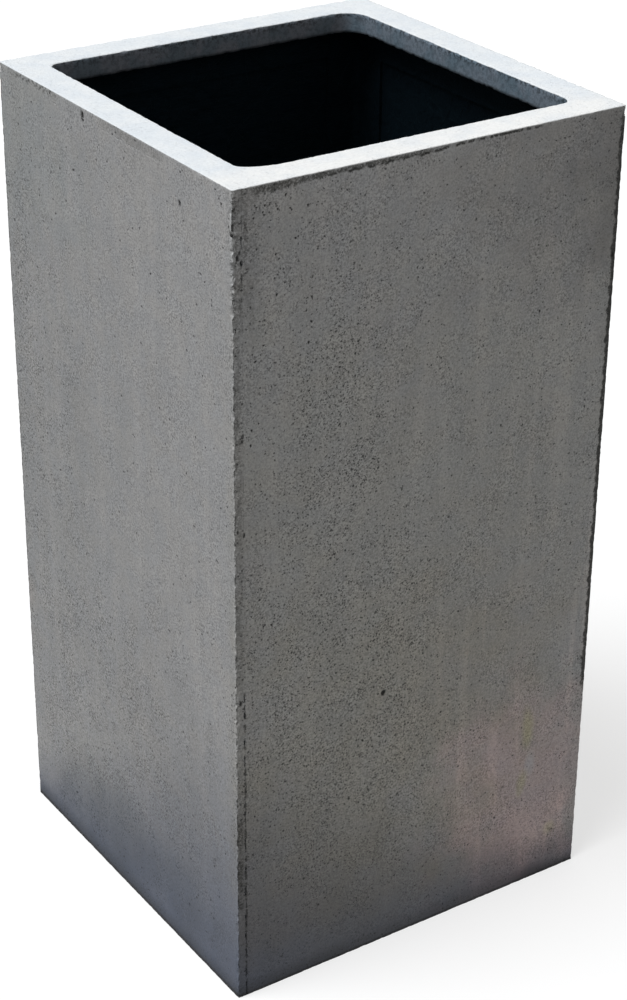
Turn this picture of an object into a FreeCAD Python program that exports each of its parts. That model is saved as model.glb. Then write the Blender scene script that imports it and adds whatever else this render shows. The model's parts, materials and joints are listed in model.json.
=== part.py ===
import FreeCAD, Part
import math
import os

import Sketcher

# A tall, square planter of glass-fibre laminate. Four wall panels carry a flat rim frame whose lip turns
# down round the mouth. A base panel sits above the floor on cleats, laminated tape ties every inner seam,
# and a rubber plug closes the drain hole.
#
# Millimetres. The origin is the middle of the footprint on the floor, +Z is up, and the front is at -Y.

DRIVING_SIZES = [
    ("width", 400, "outer side of the square footprint"),
    ("height", 800, "floor to the top of the rim"),
    ("wall", 9, "thickness of a wall panel"),
    ("rim_width", 33, "outer face to mouth, seen from above"),
    ("rim_thick", 10, "thickness of the rim frame over the walls"),
    ("lip_drop", 20, "top of the rim to the bottom of the lip"),
    ("lip_thick", 8, "thickness of the turned-down lip"),
    ("mouth_radius", 25, "corner radius of the mouth"),
    ("mouth_round", 1.5, "rounding of the mouth's top edge"),
    ("arris", 0.8, "bevel on the outer edges and along the joint lines"),
    ("base_thick", 10, "thickness of the base panel"),
    ("base_raise", 25, "floor to the underside of the base panel"),
    ("tape_thick", 3, "thickness of the laminated tape"),
    ("tape_leg", 40, "width of tape on each side of a seam"),
    ("tape_round", 8, "radius in the corner of the tape"),
    ("cleat_thick", 4, "thickness of a base cleat"),
    ("cleat_leg", 20, "leg of a base cleat"),
    ("drain_radius", 15, "radius of the drain hole"),
    ("plug_clearance", 0.3, "gap round the plug's stem"),
    ("plug_tail", 5, "length of stem under the base panel"),
    ("plug_taper", 2, "how much thinner the stem's end is, on the radius"),
    ("flange_overlap", 9, "how far the plug's flange laps past the hole"),
    ("flange_thick", 4, "thickness of the plug's flange"),
    ("knob_radius", 9, "radius of the knob that the plug is pulled by"),
    ("knob_neck", 5, "radius of the neck under the knob"),
    ("knob_rise", 14, "top of the flange to the top of the knob"),
    ("knob_thick", 6, "thickness of the knob at its edge"),
    ("knob_bevel", 2, "bevel on the knob and the flange"),
]

UP = FreeCAD.Vector(0, 0, 1)
QUARTER_TURN = 90
HALF_TURN = 180
TOUCH = 1e-4  # how near a point lies to a plane to count as in it

doc = FreeCAD.newDocument("planter")
sheet = doc.addObject("Spreadsheet::Sheet", "Sizes")


def fill_sheet():
    """Each driving size is a row: its name, its value with the name as alias, and what it is."""
    for row, (name, value, meaning) in enumerate(DRIVING_SIZES, start=1):
        sheet.set("A%d" % row, name)
        sheet.set("B%d" % row, str(value))
        sheet.setAlias("B%d" % row, name)
        sheet.set("C%d" % row, meaning)
    doc.recompute()


fill_sheet()

# Places that several pieces share, as formulas on the sheet.
HALF_OUTER = "(Sizes.width / 2)"
HALF_INNER = "(Sizes.width / 2 - Sizes.wall)"
HALF_MOUTH = "(Sizes.width / 2 - Sizes.rim_width)"
WALL_TOP = "(Sizes.height - Sizes.rim_thick)"
BASE_TOP = "(Sizes.base_raise + Sizes.base_thick)"


def number(formula):
    """What a formula on the sheet comes to."""
    return float(sheet.evalExpression(formula))


# --- how a piece is drawn ------------------------------------------------------------------------------


def new_body(label, turn=0):
    """A body whose piece is drawn at the front, the left or the front left, then turned about the middle."""
    body = doc.addObject("PartDesign::Body", label)
    body.Label = label
    body.Placement = FreeCAD.Placement(FreeCAD.Vector(), FreeCAD.Rotation(UP, turn))
    return body


def new_sketch(body, plane, level="0"):
    """A sketch on one of the body's own planes, moved off it by the formula in level."""
    sketch = body.newObject("Sketcher::SketchObject", body.Label + "_outline")
    origin_planes = {feature.Role: feature for feature in body.Origin.OriginFeatures}
    sketch.AttachmentSupport = [(origin_planes[plane], "")]
    sketch.MapMode = "FlatFace"
    sketch.setExpression("AttachmentOffset.Base.z", level)
    return sketch


def bind(sketch, constraint, name, formula):
    """Adds a constraint, names it and ties it to a formula."""
    place = sketch.addConstraint(constraint)
    sketch.renameConstraint(place, name)
    sketch.setExpression("Constraints." + name, formula)


def draw_polygon(sketch, corners):
    """A closed outline through corners, each a pair of formulas."""
    points = [FreeCAD.Vector(number(x), number(y), 0) for x, y in corners]
    lines = []
    for start, end in zip(points, points[1:] + points[:1]):
        lines.append(sketch.addGeometry(Part.LineSegment(start, end)))
    for line, following in zip(lines, lines[1:] + lines[:1]):
        sketch.addConstraint(Sketcher.Constraint("Coincident", line, 2, following, 1))
    for line, point, (x, y) in zip(lines, points, corners):
        bind(sketch, Sketcher.Constraint("DistanceX", -1, 1, line, 1, point.x), "x%d" % line, x)
        bind(sketch, Sketcher.Constraint("DistanceY", -1, 1, line, 1, point.y), "y%d" % line, y)


def draw_square(sketch, half_side):
    """A square about the middle."""
    low = "-" + half_side
    draw_polygon(sketch, [(low, low), (half_side, low), (half_side, half_side), (low, half_side)])


def draw_rounded_square(sketch, half_side, radius, name):
    """A square about the middle with round corners: four sides joined by tangent quarter circles."""
    side = number(half_side)
    bend = number(radius)
    straight = side - bend
    quarter = math.pi / 2
    sides = []
    arcs = []
    for corner in range(4):
        turn = FreeCAD.Rotation(UP, QUARTER_TURN * corner)
        start = turn.multVec(FreeCAD.Vector(-straight, -side, 0))
        end = turn.multVec(FreeCAD.Vector(straight, -side, 0))
        circle = Part.Circle(turn.multVec(FreeCAD.Vector(straight, -straight, 0)), UP, bend)
        arc = Part.ArcOfCircle(circle, quarter * (corner - 1), quarter * corner)
        sides.append(sketch.addGeometry(Part.LineSegment(start, end)))
        arcs.append(sketch.addGeometry(arc))
    for place, (line, arc) in enumerate(zip(sides, arcs)):
        direction = "Vertical" if place % 2 else "Horizontal"
        sketch.addConstraint(Sketcher.Constraint(direction, line))
        sketch.addConstraint(Sketcher.Constraint("Tangent", line, 2, arc, 1))
        sketch.addConstraint(Sketcher.Constraint("Tangent", arc, 2, sides[(place + 1) % 4], 1))
    for arc in arcs[1:]:
        sketch.addConstraint(Sketcher.Constraint("Equal", arcs[0], arc))
    sketch.addConstraint(Sketcher.Constraint("Symmetric", arcs[0], 3, arcs[2], 3, -1, 1))
    bottom, right, top, left = sides
    full = "2 * " + half_side
    bind(sketch, Sketcher.Constraint("DistanceX", left, 1, right, 1, 2 * side), name + "_wide", full)
    bind(sketch, Sketcher.Constraint("DistanceY", bottom, 1, top, 1, 2 * side), name + "_deep", full)
    bind(sketch, Sketcher.Constraint("Radius", arcs[0], bend), name + "_radius", radius)


def pad(body, sketch, length, downward=False):
    """Raises the sketch into a solid, by the formula in length."""
    feature = body.newObject("PartDesign::Pad", body.Label + "_pad")
    feature.Profile = sketch
    feature.Reversed = downward
    feature.setExpression("Length", length)
    doc.recompute()
    return feature


def edges_where(feature, wanted):
    """Names of the feature's edges whose ends and middle all satisfy wanted."""
    names = []
    for place, edge in enumerate(feature.Shape.Edges, start=1):
        middle = edge.valueAt((edge.FirstParameter + edge.LastParameter) / 2)
        points = [vertex.Point for vertex in edge.Vertexes] + [middle]
        if all(wanted(point) for point in points):
            names.append("Edge%d" % place)
    if not names:
        raise ValueError("no edge to finish on " + feature.Label)
    return names


def ease_edges(body, feature, kind, size, wanted):
    """Bevels or rounds the edges that satisfy wanted."""
    finish = body.newObject("PartDesign::" + kind, body.Label + "_" + kind.lower())
    finish.Base = (feature, edges_where(feature, wanted))
    finish.setExpression("Radius" if kind == "Fillet" else "Size", size)
    doc.recompute()
    return finish


def near(value, formula):
    """True where a coordinate lies in the plane that the formula gives."""
    return abs(value - number(formula)) < TOUCH


# --- walls and rim -------------------------------------------------------------------------------------


def side_wall(label, turn):
    """A panel over the full depth. Its end faces show at the front and the back."""
    body = new_body(label, turn)
    sketch = new_sketch(body, "XY_Plane")
    low, high = "-" + HALF_OUTER, HALF_OUTER
    inner = "-" + HALF_INNER
    draw_polygon(sketch, [(low, low), (inner, low), (inner, high), (low, high)])
    panel = pad(body, sketch, WALL_TOP)

    def is_outside(point):
        return near(point.x, low) or near(point.y, low) or near(point.y, high)

    ease_edges(body, panel, "Chamfer", "Sizes.arris", is_outside)


def end_wall(label, turn):
    """A panel captured between the side walls."""
    body = new_body(label, turn)
    sketch = new_sketch(body, "XY_Plane")
    outer, inner = "-" + HALF_OUTER, "-" + HALF_INNER
    left, right = "-" + HALF_INNER, HALF_INNER
    draw_polygon(sketch, [(left, outer), (right, outer), (right, inner), (left, inner)])
    panel = pad(body, sketch, WALL_TOP)

    def is_outside(point):
        return near(point.y, outer)

    ease_edges(body, panel, "Chamfer", "Sizes.arris", is_outside)


def rim_frame():
    """A flat frame on the walls, with a lip turned down round the mouth."""
    body = new_body("rim_frame")
    flange = new_sketch(body, "XY_Plane", WALL_TOP)
    draw_square(flange, HALF_OUTER)
    draw_rounded_square(flange, HALF_MOUTH, "Sizes.mouth_radius", "mouth")
    pad(body, flange, "Sizes.rim_thick")
    lip = new_sketch(body, "XY_Plane", WALL_TOP)
    draw_rounded_square(lip, HALF_MOUTH, "Sizes.mouth_radius", "mouth")
    back = "(%s + Sizes.lip_thick)" % HALF_MOUTH
    draw_rounded_square(lip, back, "(Sizes.mouth_radius + Sizes.lip_thick)", "back")
    frame = pad(body, lip, "Sizes.lip_drop - Sizes.rim_thick", downward=True)
    outside = number(HALF_OUTER)

    def on_outer_square(point):
        return max(abs(point.x), abs(point.y)) > outside - TOUCH

    def round_mouth_top(point):
        return near(point.z, "Sizes.height") and not on_outer_square(point)

    eased = ease_edges(body, frame, "Chamfer", "Sizes.arris", on_outer_square)
    ease_edges(body, eased, "Fillet", "Sizes.mouth_round", round_mouth_top)


# --- base ----------------------------------------------------------------------------------------------


def base_panel():
    """The raised floor of the planter, with the drain hole in its middle."""
    body = new_body("base_panel")
    sketch = new_sketch(body, "XY_Plane", "Sizes.base_raise")
    draw_square(sketch, HALF_INNER)
    hole = sketch.addGeometry(Part.Circle(FreeCAD.Vector(), UP, number("Sizes.drain_radius")))
    sketch.addConstraint(Sketcher.Constraint("Coincident", hole, 3, -1, 1))
    radius = Sketcher.Constraint("Radius", hole, number("Sizes.drain_radius"))
    bind(sketch, radius, "drain", "Sizes.drain_radius")
    pad(body, sketch, "Sizes.base_thick")


def seam_angle(label, turn, flat_face, flat_leg, upright_leg, thick, upward):
    """An angle along the front wall's inner face, mitred at both ends to meet its neighbours.

    Its flat leg lies on the level flat_face and reaches flat_leg in from the wall. Its upright leg
    follows the wall, up or down from there, for upright_leg.
    """
    body = new_body(label, turn)
    for depth, rise in ((flat_leg, thick), (thick, upright_leg)):
        sketch = new_sketch(body, "XY_Plane", flat_face)
        wide, narrow = HALF_INNER, "(%s - %s)" % (HALF_INNER, depth)
        corners = [("-" + wide, "-" + wide), (wide, "-" + wide), (narrow, "-" + narrow)]
        draw_polygon(sketch, corners + [("-" + narrow, "-" + narrow)])
        angle = pad(body, sketch, rise, downward=not upward)
    return body, angle


def round_seam(body, angle, flat_face, thick, upward):
    """Rounds the inner corner of a seam angle, along its whole length."""
    upright = "-(%s - %s)" % (HALF_INNER, thick)
    level = "%s %s %s" % (flat_face, "+" if upward else "-", thick)

    def in_corner(point):
        return near(point.y, upright) and near(point.z, level)

    ease_edges(body, angle, "Fillet", "Sizes.tape_round", in_corner)


def base_tape(label, turn):
    """Laminated tape over the seam of the base panel and a wall."""
    leg, thick = "Sizes.tape_leg", "Sizes.tape_thick"
    body, angle = seam_angle(label, turn, BASE_TOP, leg, leg, thick, upward=True)
    round_seam(body, angle, BASE_TOP, thick, upward=True)


def rim_tape(label, turn):
    """Laminated tape from a wall to the rim's underside, as far in as the lip."""
    reach = "(Sizes.rim_width - Sizes.wall - Sizes.lip_thick)"
    thick = "Sizes.tape_thick"
    body, angle = seam_angle(label, turn, WALL_TOP, reach, "Sizes.tape_leg", thick, upward=False)
    round_seam(body, angle, WALL_TOP, thick, upward=False)


def base_cleat(label, turn):
    """A laminated angle under the base panel, clear of the floor."""
    leg, thick = "Sizes.cleat_leg", "Sizes.cleat_thick"
    seam_angle(label, turn, "Sizes.base_raise", leg, leg, thick, upward=False)


def corner_tape(label, turn):
    """Laminated tape up an inner corner, between the base tape and the rim tape."""
    body = new_body(label, turn)
    bottom = "(%s + Sizes.tape_leg)" % BASE_TOP
    sketch = new_sketch(body, "XY_Plane", bottom)
    wall = "-" + HALF_INNER
    face = "-(%s - Sizes.tape_thick)" % HALF_INNER
    end = "-(%s - Sizes.tape_leg)" % HALF_INNER
    draw_polygon(sketch, [(wall, wall), (end, wall), (end, face), (face, face), (face, end), (wall, end)])
    tape = pad(body, sketch, "%s - Sizes.tape_leg - %s" % (WALL_TOP, bottom))

    def in_corner(point):
        return near(point.x, face) and near(point.y, face)

    ease_edges(body, tape, "Fillet", "Sizes.tape_round", in_corner)


# --- plug ----------------------------------------------------------------------------------------------


def drain_plug():
    """A rubber bung turned about the drain hole's axis: stem, flange, neck and knob."""
    body = new_body("drain_plug")
    sketch = new_sketch(body, "XZ_Plane")
    stem = "(Sizes.drain_radius - Sizes.plug_clearance)"
    stem_end = "(%s - Sizes.plug_taper)" % stem
    tail = "(Sizes.base_raise - Sizes.plug_tail)"
    flange = "(Sizes.drain_radius + Sizes.flange_overlap)"
    flange_top = "(%s + Sizes.flange_thick)" % BASE_TOP
    knob_top = "(%s + Sizes.knob_rise)" % flange_top
    bevel = "Sizes.knob_bevel"
    profile = [
        ("0", tail),
        (stem_end, tail),
        (stem, "Sizes.base_raise"),
        (stem, BASE_TOP),
        (flange, BASE_TOP),
        (flange, "%s - %s" % (flange_top, bevel)),
        ("%s - %s" % (flange, bevel), flange_top),
        ("Sizes.knob_neck", flange_top),
        ("Sizes.knob_neck", "%s - Sizes.knob_thick - %s" % (knob_top, bevel)),
        ("Sizes.knob_radius", "%s - Sizes.knob_thick" % knob_top),
        ("Sizes.knob_radius", "%s - %s" % (knob_top, bevel)),
        ("Sizes.knob_radius - %s" % bevel, knob_top),
        ("0", knob_top),
    ]
    draw_polygon(sketch, profile)
    turned = body.newObject("PartDesign::Revolution", "drain_plug_turned")
    turned.Profile = sketch
    turned.ReferenceAxis = (sketch, ["V_Axis"])
    turned.Angle = 4 * QUARTER_TURN
    doc.recompute()


# --- assembly ------------------------------------------------------------------------------------------

side_wall("left_wall", 0)
side_wall("right_wall", HALF_TURN)
end_wall("front_wall", 0)
end_wall("back_wall", HALF_TURN)
rim_frame()
base_panel()

for place, side in enumerate(("front", "right", "back", "left")):
    turn = QUARTER_TURN * place
    base_cleat("base_cleat_" + side, turn)
    base_tape("base_tape_" + side, turn)
    rim_tape("rim_tape_" + side, turn)

for place, corner in enumerate(("front_left", "front_right", "back_right", "back_left")):
    corner_tape("corner_tape_" + corner, QUARTER_TURN * place)

drain_plug()
doc.recompute()


# --- check and write -----------------------------------------------------------------------------------


def check_document():
    """Stops if any object failed to rebuild, or a piece isn't one sound solid."""
    for thing in doc.Objects:
        if "Invalid" in thing.State or "Error" in thing.State:
            raise RuntimeError("%s is %s" % (thing.Label, thing.State))
    for body in pieces():
        shape = body.Shape
        if shape.isNull() or not shape.isValid() or len(shape.Solids) != 1:
            raise RuntimeError("%s isn't one sound solid" % body.Label)


def pieces():
    """The planter's pieces, each a body."""
    return [thing for thing in doc.Objects if thing.isDerivedFrom("PartDesign::Body")]


check_document()
os.makedirs("parts", exist_ok=True)
for body in pieces():
    body.Shape.exportStep("parts/%s.step" % body.Label)
    print("%-26s %12.1f mm3" % (body.Label, body.Shape.Volume))
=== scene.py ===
import json
import math
import random

import bmesh
import bpy
from mathutils import Matrix, Quaternion, Vector, noise
from mathutils.geometry import delaunay_2d_cdt
from mathutils.kdtree import KDTree


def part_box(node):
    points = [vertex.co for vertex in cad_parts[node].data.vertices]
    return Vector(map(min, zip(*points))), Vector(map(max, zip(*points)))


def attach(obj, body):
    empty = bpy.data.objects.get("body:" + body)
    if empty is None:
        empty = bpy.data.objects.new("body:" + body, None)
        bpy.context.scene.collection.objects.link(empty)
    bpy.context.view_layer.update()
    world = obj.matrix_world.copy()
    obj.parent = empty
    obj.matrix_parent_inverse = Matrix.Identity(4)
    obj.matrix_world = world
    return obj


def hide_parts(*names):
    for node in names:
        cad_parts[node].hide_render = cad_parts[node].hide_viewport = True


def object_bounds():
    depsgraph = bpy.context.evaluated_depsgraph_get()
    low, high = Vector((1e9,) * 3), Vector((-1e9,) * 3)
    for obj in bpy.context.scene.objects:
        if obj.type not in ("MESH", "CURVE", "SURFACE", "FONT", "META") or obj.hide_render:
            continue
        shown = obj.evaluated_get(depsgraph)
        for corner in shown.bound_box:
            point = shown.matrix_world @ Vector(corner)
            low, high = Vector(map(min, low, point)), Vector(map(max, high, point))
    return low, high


# A tall, square planter of glass-fibre laminate with a cast, concrete-look skin. The panels and the rim
# are rebuilt here as cast faces with chipped arrises, open joints and air pits; the other pieces of the
# construction keep their meshes and get their finish.
#
# Metres, in the frame of the construction: origin in the middle of the footprint, +Z up, front at -Y.
# Finishes and marks are laid out in millimetres.

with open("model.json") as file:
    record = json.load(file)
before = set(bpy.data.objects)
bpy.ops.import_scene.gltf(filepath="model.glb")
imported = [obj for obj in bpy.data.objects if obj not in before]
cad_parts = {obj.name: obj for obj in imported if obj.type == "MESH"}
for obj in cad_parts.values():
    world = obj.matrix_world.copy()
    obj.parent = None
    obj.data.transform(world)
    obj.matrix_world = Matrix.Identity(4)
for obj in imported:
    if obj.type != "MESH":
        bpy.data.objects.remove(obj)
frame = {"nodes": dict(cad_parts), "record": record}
cad_low, cad_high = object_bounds()

MM = 0.001
side_low, side_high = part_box("left_wall")
HALF = cad_high.x  # outer face of a wall, from the middle
WALL = side_high.x - side_low.x  # thickness of a wall panel
TOP = cad_high.z  # flat top of the rim
JOINT = side_high.z  # level where the rim sits on the walls
SEAM = HALF - WALL  # where a captured panel meets a side panel
LIP_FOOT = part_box("rim_frame")[0].z  # lower edge of the lip round the mouth
LIP_THICK = 8 * MM
MOUTH = HALF - 33 * MM  # inner face of the lip
MOUTH_ROUND = 1.5 * MM  # rounding between the flat top and the lip

FINE = 1.0 * MM  # spacing of vertices along an arris
COARSE = 12 * MM  # and in the middle of a face
SEED = 11


# --- small helpers for node trees ----------------------------------------------------------------------


def add(tree, kind, sources=None, **settings):
    """Adds a node. settings are its properties; sources give its inputs a value or another node's socket."""
    node = tree.nodes.new(kind)
    for name, value in settings.items():
        setattr(node, name, value)
    for name, value in (sources or {}).items():
        if isinstance(value, bpy.types.NodeSocket):
            tree.links.new(value, node.inputs[name])
        else:
            node.inputs[name].default_value = value
    return node


def maths(tree, operation, *values, clamp=False):
    """The result of a sum on numbers."""
    sources = dict(enumerate(values))
    return add(tree, "ShaderNodeMath", sources, operation=operation, use_clamp=clamp).outputs[0]


def plus(tree, first, second, clamp=False):
    """The sum of two numbers."""
    return maths(tree, "ADD", first, second, clamp=clamp)


def minus(tree, first, second, clamp=False):
    """The first number less the second."""
    return maths(tree, "SUBTRACT", first, second, clamp=clamp)


def times(tree, first, second, clamp=False):
    """The product of two numbers."""
    return maths(tree, "MULTIPLY", first, second, clamp=clamp)


def larger(tree, first, second):
    """The larger of two numbers."""
    return maths(tree, "MAXIMUM", first, second)


def size_of(tree, value):
    """A number without its sign."""
    return maths(tree, "ABSOLUTE", value)


def vectors(tree, operation, *values):
    """The vector that a sum on vectors gives."""
    return add(tree, "ShaderNodeVectorMath", dict(enumerate(values)), operation=operation).outputs[0]


def scaled(tree, vector, factor):
    """A vector made factor times as long."""
    return add(tree, "ShaderNodeVectorMath", {0: vector, "Scale": factor}, operation="SCALE").outputs[0]


def split(tree, vector):
    """The x, y and z of a vector."""
    return add(tree, "ShaderNodeSeparateXYZ", {0: vector}).outputs


def joined(tree, x=0.0, y=0.0, z=0.0):
    """A vector from its x, y and z."""
    return add(tree, "ShaderNodeCombineXYZ", {0: x, 1: y, 2: z}).outputs[0]


def ramp(tree, value, start, end, low=0.0, high=1.0):
    """A smooth step of value: low up to start, high from end on."""
    sources = {"Value": value, "From Min": start, "From Max": end, "To Min": low, "To Max": high}
    return add(tree, "ShaderNodeMapRange", sources, interpolation_type="SMOOTHSTEP").outputs["Result"]


def blend_share(tree, value, low, high):
    """A share that goes from low to high with value."""
    return plus(tree, low, times(tree, value, high - low))


def speckle(tree, place, size, detail=2.0, roughness=0.5):
    """Noise whose blobs are about size across, in the units of place."""
    sources = {"Vector": place, "Scale": 1 / size, "Detail": detail, "Roughness": roughness}
    return add(tree, "ShaderNodeTexNoise", sources).outputs[0]


def drift(tree, place, scale, detail):
    """A vector that strays about nothing, with scale waves in a unit of place."""
    sources = {"Vector": place, "Scale": scale, "Detail": detail}
    colour = add(tree, "ShaderNodeTexNoise", sources).outputs["Color"]
    return vectors(tree, "SUBTRACT", colour, (0.5, 0.5, 0.5))


def stretched(tree, place, x, y, z):
    """Coordinates divided by x, y and z, so that a pattern on them is that many times as long."""
    scale = (1 / x, 1 / y, 1 / z)
    return add(tree, "ShaderNodeMapping", {"Vector": place, "Scale": scale}).outputs[0]


def blend(tree, share, first, second, mode="MIX"):
    """Two colours mixed by share."""
    sources = {0: share, 6: first, 7: second}
    return add(tree, "ShaderNodeMix", sources, data_type="RGBA", blend_type=mode).outputs[2]


def multiplied(tree, colour, factor):
    """A colour multiplied by another or by a number."""
    return blend(tree, 1.0, colour, factor, "MULTIPLY")


def tinted(tree, share, colour, tint):
    """A colour multiplied by a tint, as far as share says."""
    return blend(tree, share, colour, multiplied(tree, colour, tint))


def grey(level, red=1.0, green=1.0, blue=1.0):
    """A colour near grey, from its level and a tint."""
    return (level * red, level * green, level * blue, 1.0)


def new_group(name, inputs, outputs, kind="ShaderNodeTree"):
    """A node group with named sockets, and what its inputs give inside it.

    inputs are triples of a name, a kind and a first value or None; outputs are pairs of a name and a kind.
    """
    group = bpy.data.node_groups.new(name, kind)
    for label, sort, value in inputs:
        socket = group.interface.new_socket(label, in_out="INPUT", socket_type="NodeSocket" + sort)
        if value is not None:
            socket.default_value = value
    for label, sort in outputs:
        group.interface.new_socket(label, in_out="OUTPUT", socket_type="NodeSocket" + sort)
    return group, add(group, "NodeGroupInput").outputs


def place_group(tree, group, sources):
    """Puts a node group in a tree and returns its outputs."""
    return add(tree, "ShaderNodeGroup", sources, node_tree=group).outputs


def cleared(owner):
    """The node tree of a material or a world, emptied."""
    owner.use_nodes = True
    owner.node_tree.nodes.clear()
    return owner.node_tree


def new_object(name, data):
    """A new object in the scene."""
    thing = bpy.data.objects.new(name, data)
    bpy.context.scene.collection.objects.link(thing)
    return thing


# --- stage, light and camera ---------------------------------------------------------------------------

SUN_STRENGTH = 2.9
SUN_WIDTH = math.radians(35)
SUN_HEIGHT = math.radians(64)
SUN_BEARING = math.radians(173)  # from the left and a little from behind, counted from +X
SUN_TINT = (0.985, 1.0, 1.02)
SKY_LEVEL = 0.42
SKY_TINT = (1.012, 1.0, 0.978)
FLOOR_SIZE = 30.0
FLOOR_BOUNCE = 0.26  # how pale the floor is to the light that it throws back
FLOOR_SHADE = 0.36  # how much of its paleness takes the shadow
FLOOR_GLOW = 0.62  # and how much doesn't

CAMERA_PLACE = Vector((-1.0924, -1.6535, 1.4233))
CAMERA_AIM = Vector((0.0089, -0.006, 0.3832))
CAMERA_ROLL = math.radians(0.514)
CAMERA_LENS = 83.28


def seen_directly(tree):
    """1 for rays that show the backdrop itself, by the camera, a reflection or a clear surface."""
    path = add(tree, "ShaderNodeLightPath").outputs
    either = larger(tree, path["Is Camera Ray"], path["Is Glossy Ray"])
    return larger(tree, either, path["Is Transmission Ray"])


def make_world():
    """Even sky light, with a white backdrop."""
    world = bpy.data.worlds.new("sky")
    tree = cleared(world)
    light = add(tree, "ShaderNodeBackground", {"Color": grey(1.0, *SKY_TINT), "Strength": SKY_LEVEL})
    white = add(tree, "ShaderNodeBackground", {"Color": grey(1.0), "Strength": 1.0})
    seen = seen_directly(tree)
    mix = add(tree, "ShaderNodeMixShader", {0: seen, 1: light.outputs[0], 2: white.outputs[0]})
    add(tree, "ShaderNodeOutputWorld", {"Surface": mix.outputs[0]})
    bpy.context.scene.world = world


def make_floor():
    """A plain white floor that keeps a soft shadow and throws back little light."""
    material = bpy.data.materials.new("studio_floor")
    tree = cleared(material)
    shaded = add(tree, "ShaderNodeBsdfDiffuse", {"Color": grey(FLOOR_SHADE)})
    glow = add(tree, "ShaderNodeEmission", {"Color": grey(1.0), "Strength": FLOOR_GLOW})
    shown = add(tree, "ShaderNodeAddShader", {0: shaded.outputs[0], 1: glow.outputs[0]})
    thrown = add(tree, "ShaderNodeBsdfDiffuse", {"Color": grey(FLOOR_BOUNCE)})
    seen = seen_directly(tree)
    mix = add(tree, "ShaderNodeMixShader", {0: seen, 1: thrown.outputs[0], 2: shown.outputs[0]})
    add(tree, "ShaderNodeOutputMaterial", {"Surface": mix.outputs[0]})
    mesh = bpy.data.meshes.new("studio_floor")
    reach = FLOOR_SIZE / 2
    corners = [(-reach, -reach, 0), (reach, -reach, 0), (reach, reach, 0), (-reach, reach, 0)]
    mesh.from_pydata(corners, [], [(0, 1, 2, 3)])
    mesh.materials.append(material)
    floor = new_object("studio_floor", mesh)


def make_sun():
    """One broad, soft lamp, high on the left."""
    data = bpy.data.lights.new("soft_lamp", "SUN")
    data.energy = SUN_STRENGTH
    data.color = SUN_TINT
    data.angle = SUN_WIDTH
    level = math.cos(SUN_HEIGHT)
    towards = Vector((level * math.cos(SUN_BEARING), level * math.sin(SUN_BEARING), math.sin(SUN_HEIGHT)))
    new_object("soft_lamp", data).rotation_euler = towards.to_track_quat("Z", "Y").to_euler()


def make_camera():
    """The photograph's view, looking down on the near corner between the left face and the front."""
    data = bpy.data.cameras.new("camera")
    data.lens = CAMERA_LENS
    camera = new_object("camera", data)
    camera.location = CAMERA_PLACE
    level = (CAMERA_AIM - CAMERA_PLACE).to_track_quat("-Z", "Y")
    camera.rotation_euler = (level @ Quaternion((0, 0, 1), CAMERA_ROLL)).to_euler()
    bpy.context.scene.camera = camera


# --- effects that several finishes share ---------------------------------------------------------------

# The outer faces, the flat top and the lip's lower edge in the millimetres of the finishes.
SIDE_MM = HALF / MM
TOP_MM = TOP / MM
LIP_FOOT_MM = LIP_FOOT / MM
LEFT_FACE = (0.5 - SIDE_MM, 1.5 - SIDE_MM)  # across this stretch of x the left face gives way to the rest

# Air holes: spacing of the cells that hold one each, and radius of a hole.
FINE_HOLES = (2.7, 0.82)
MEDIUM_HOLES = (4.6, 1.04)
LARGE_HOLES = (8.0, 1.3)
# Painted highlights beside the holes: spacing of their cells, and radius.
HIGHLIGHT_SPOTS = (2.8, 0.7)
BESIDE = (0.9, 0.9, -0.9)  # how far the painted highlights on the holes' rims lie from the holes

# Sizes of the patterns in a skin.
CROWD_CLOUDS = 30
GRAIN_SIZE = 1.9
CLOUD_SIZE = 60
RUN_SIZE = (15, 15, 210)
TINT_CLOUDS = 26
DIRT_SPECKS = 2.4
SMUDGE_SIZE = 26  # of the rim's top
TOP_SPECKS = 2.4
LIP_SPECKS = 4.5


def holes(tree, place, cell, radius, kept):
    """Round holes, one in a cell at most, in the share of the cells that kept gives."""
    sources = {"Vector": place, "Scale": 1 / cell, "Randomness": 1.0}
    cells = add(tree, "ShaderNodeTexVoronoi", sources, feature="F1").outputs
    hole = ramp(tree, cells["Distance"], 0.7 * radius / cell, radius / cell, 1.0, 0.0)
    draw = add(tree, "ShaderNodeSeparateColor", {0: cells["Color"]}).outputs[0]
    return times(tree, hole, maths(tree, "LESS_THAN", draw, kept))


def make_air_holes():
    """Pinholes left by air against the mould: a mask of them, where they crowd, and pale flecks beside them,
    painted highlights on their rims.
    """
    inputs = [("Place", "Vector", None), ("Share", "Float", 0.8)]
    outputs = [("Holes", "Float"), ("Crowding", "Float"), ("Flecks", "Float")]
    group, given = new_group("air_holes", inputs, outputs)
    share = given["Share"]
    crowding = ramp(group, speckle(group, given["Place"], CROWD_CLOUDS, 5.0, 0.65), 0.38, 0.64)
    kept = times(group, share, blend_share(group, crowding, 0.30, 1.0))
    wobble = scaled(group, drift(group, given["Place"], 0.6, 1.0), 2.2)
    place = vectors(group, "ADD", given["Place"], wobble)
    shown = plus(group, 0.32, times(group, 0.38, share), clamp=True)
    fine = times(group, shown, holes(group, place, *FINE_HOLES, kept))
    medium = times(group, 0.9, holes(group, place, *MEDIUM_HOLES, times(group, 0.62, kept)))
    rare = times(group, blend_share(group, share, -0.15, 0.20), kept)
    large = holes(group, place, *LARGE_HOLES, rare)
    beside = vectors(group, "ADD", place, BESIDE)
    highlights = holes(group, beside, *HIGHLIGHT_SPOTS, times(group, 0.45, kept))
    add(group, "NodeGroupOutput", {
        "Holes": larger(group, larger(group, fine, medium), large), "Crowding": crowding, "Flecks": highlights})
    return group


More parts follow.
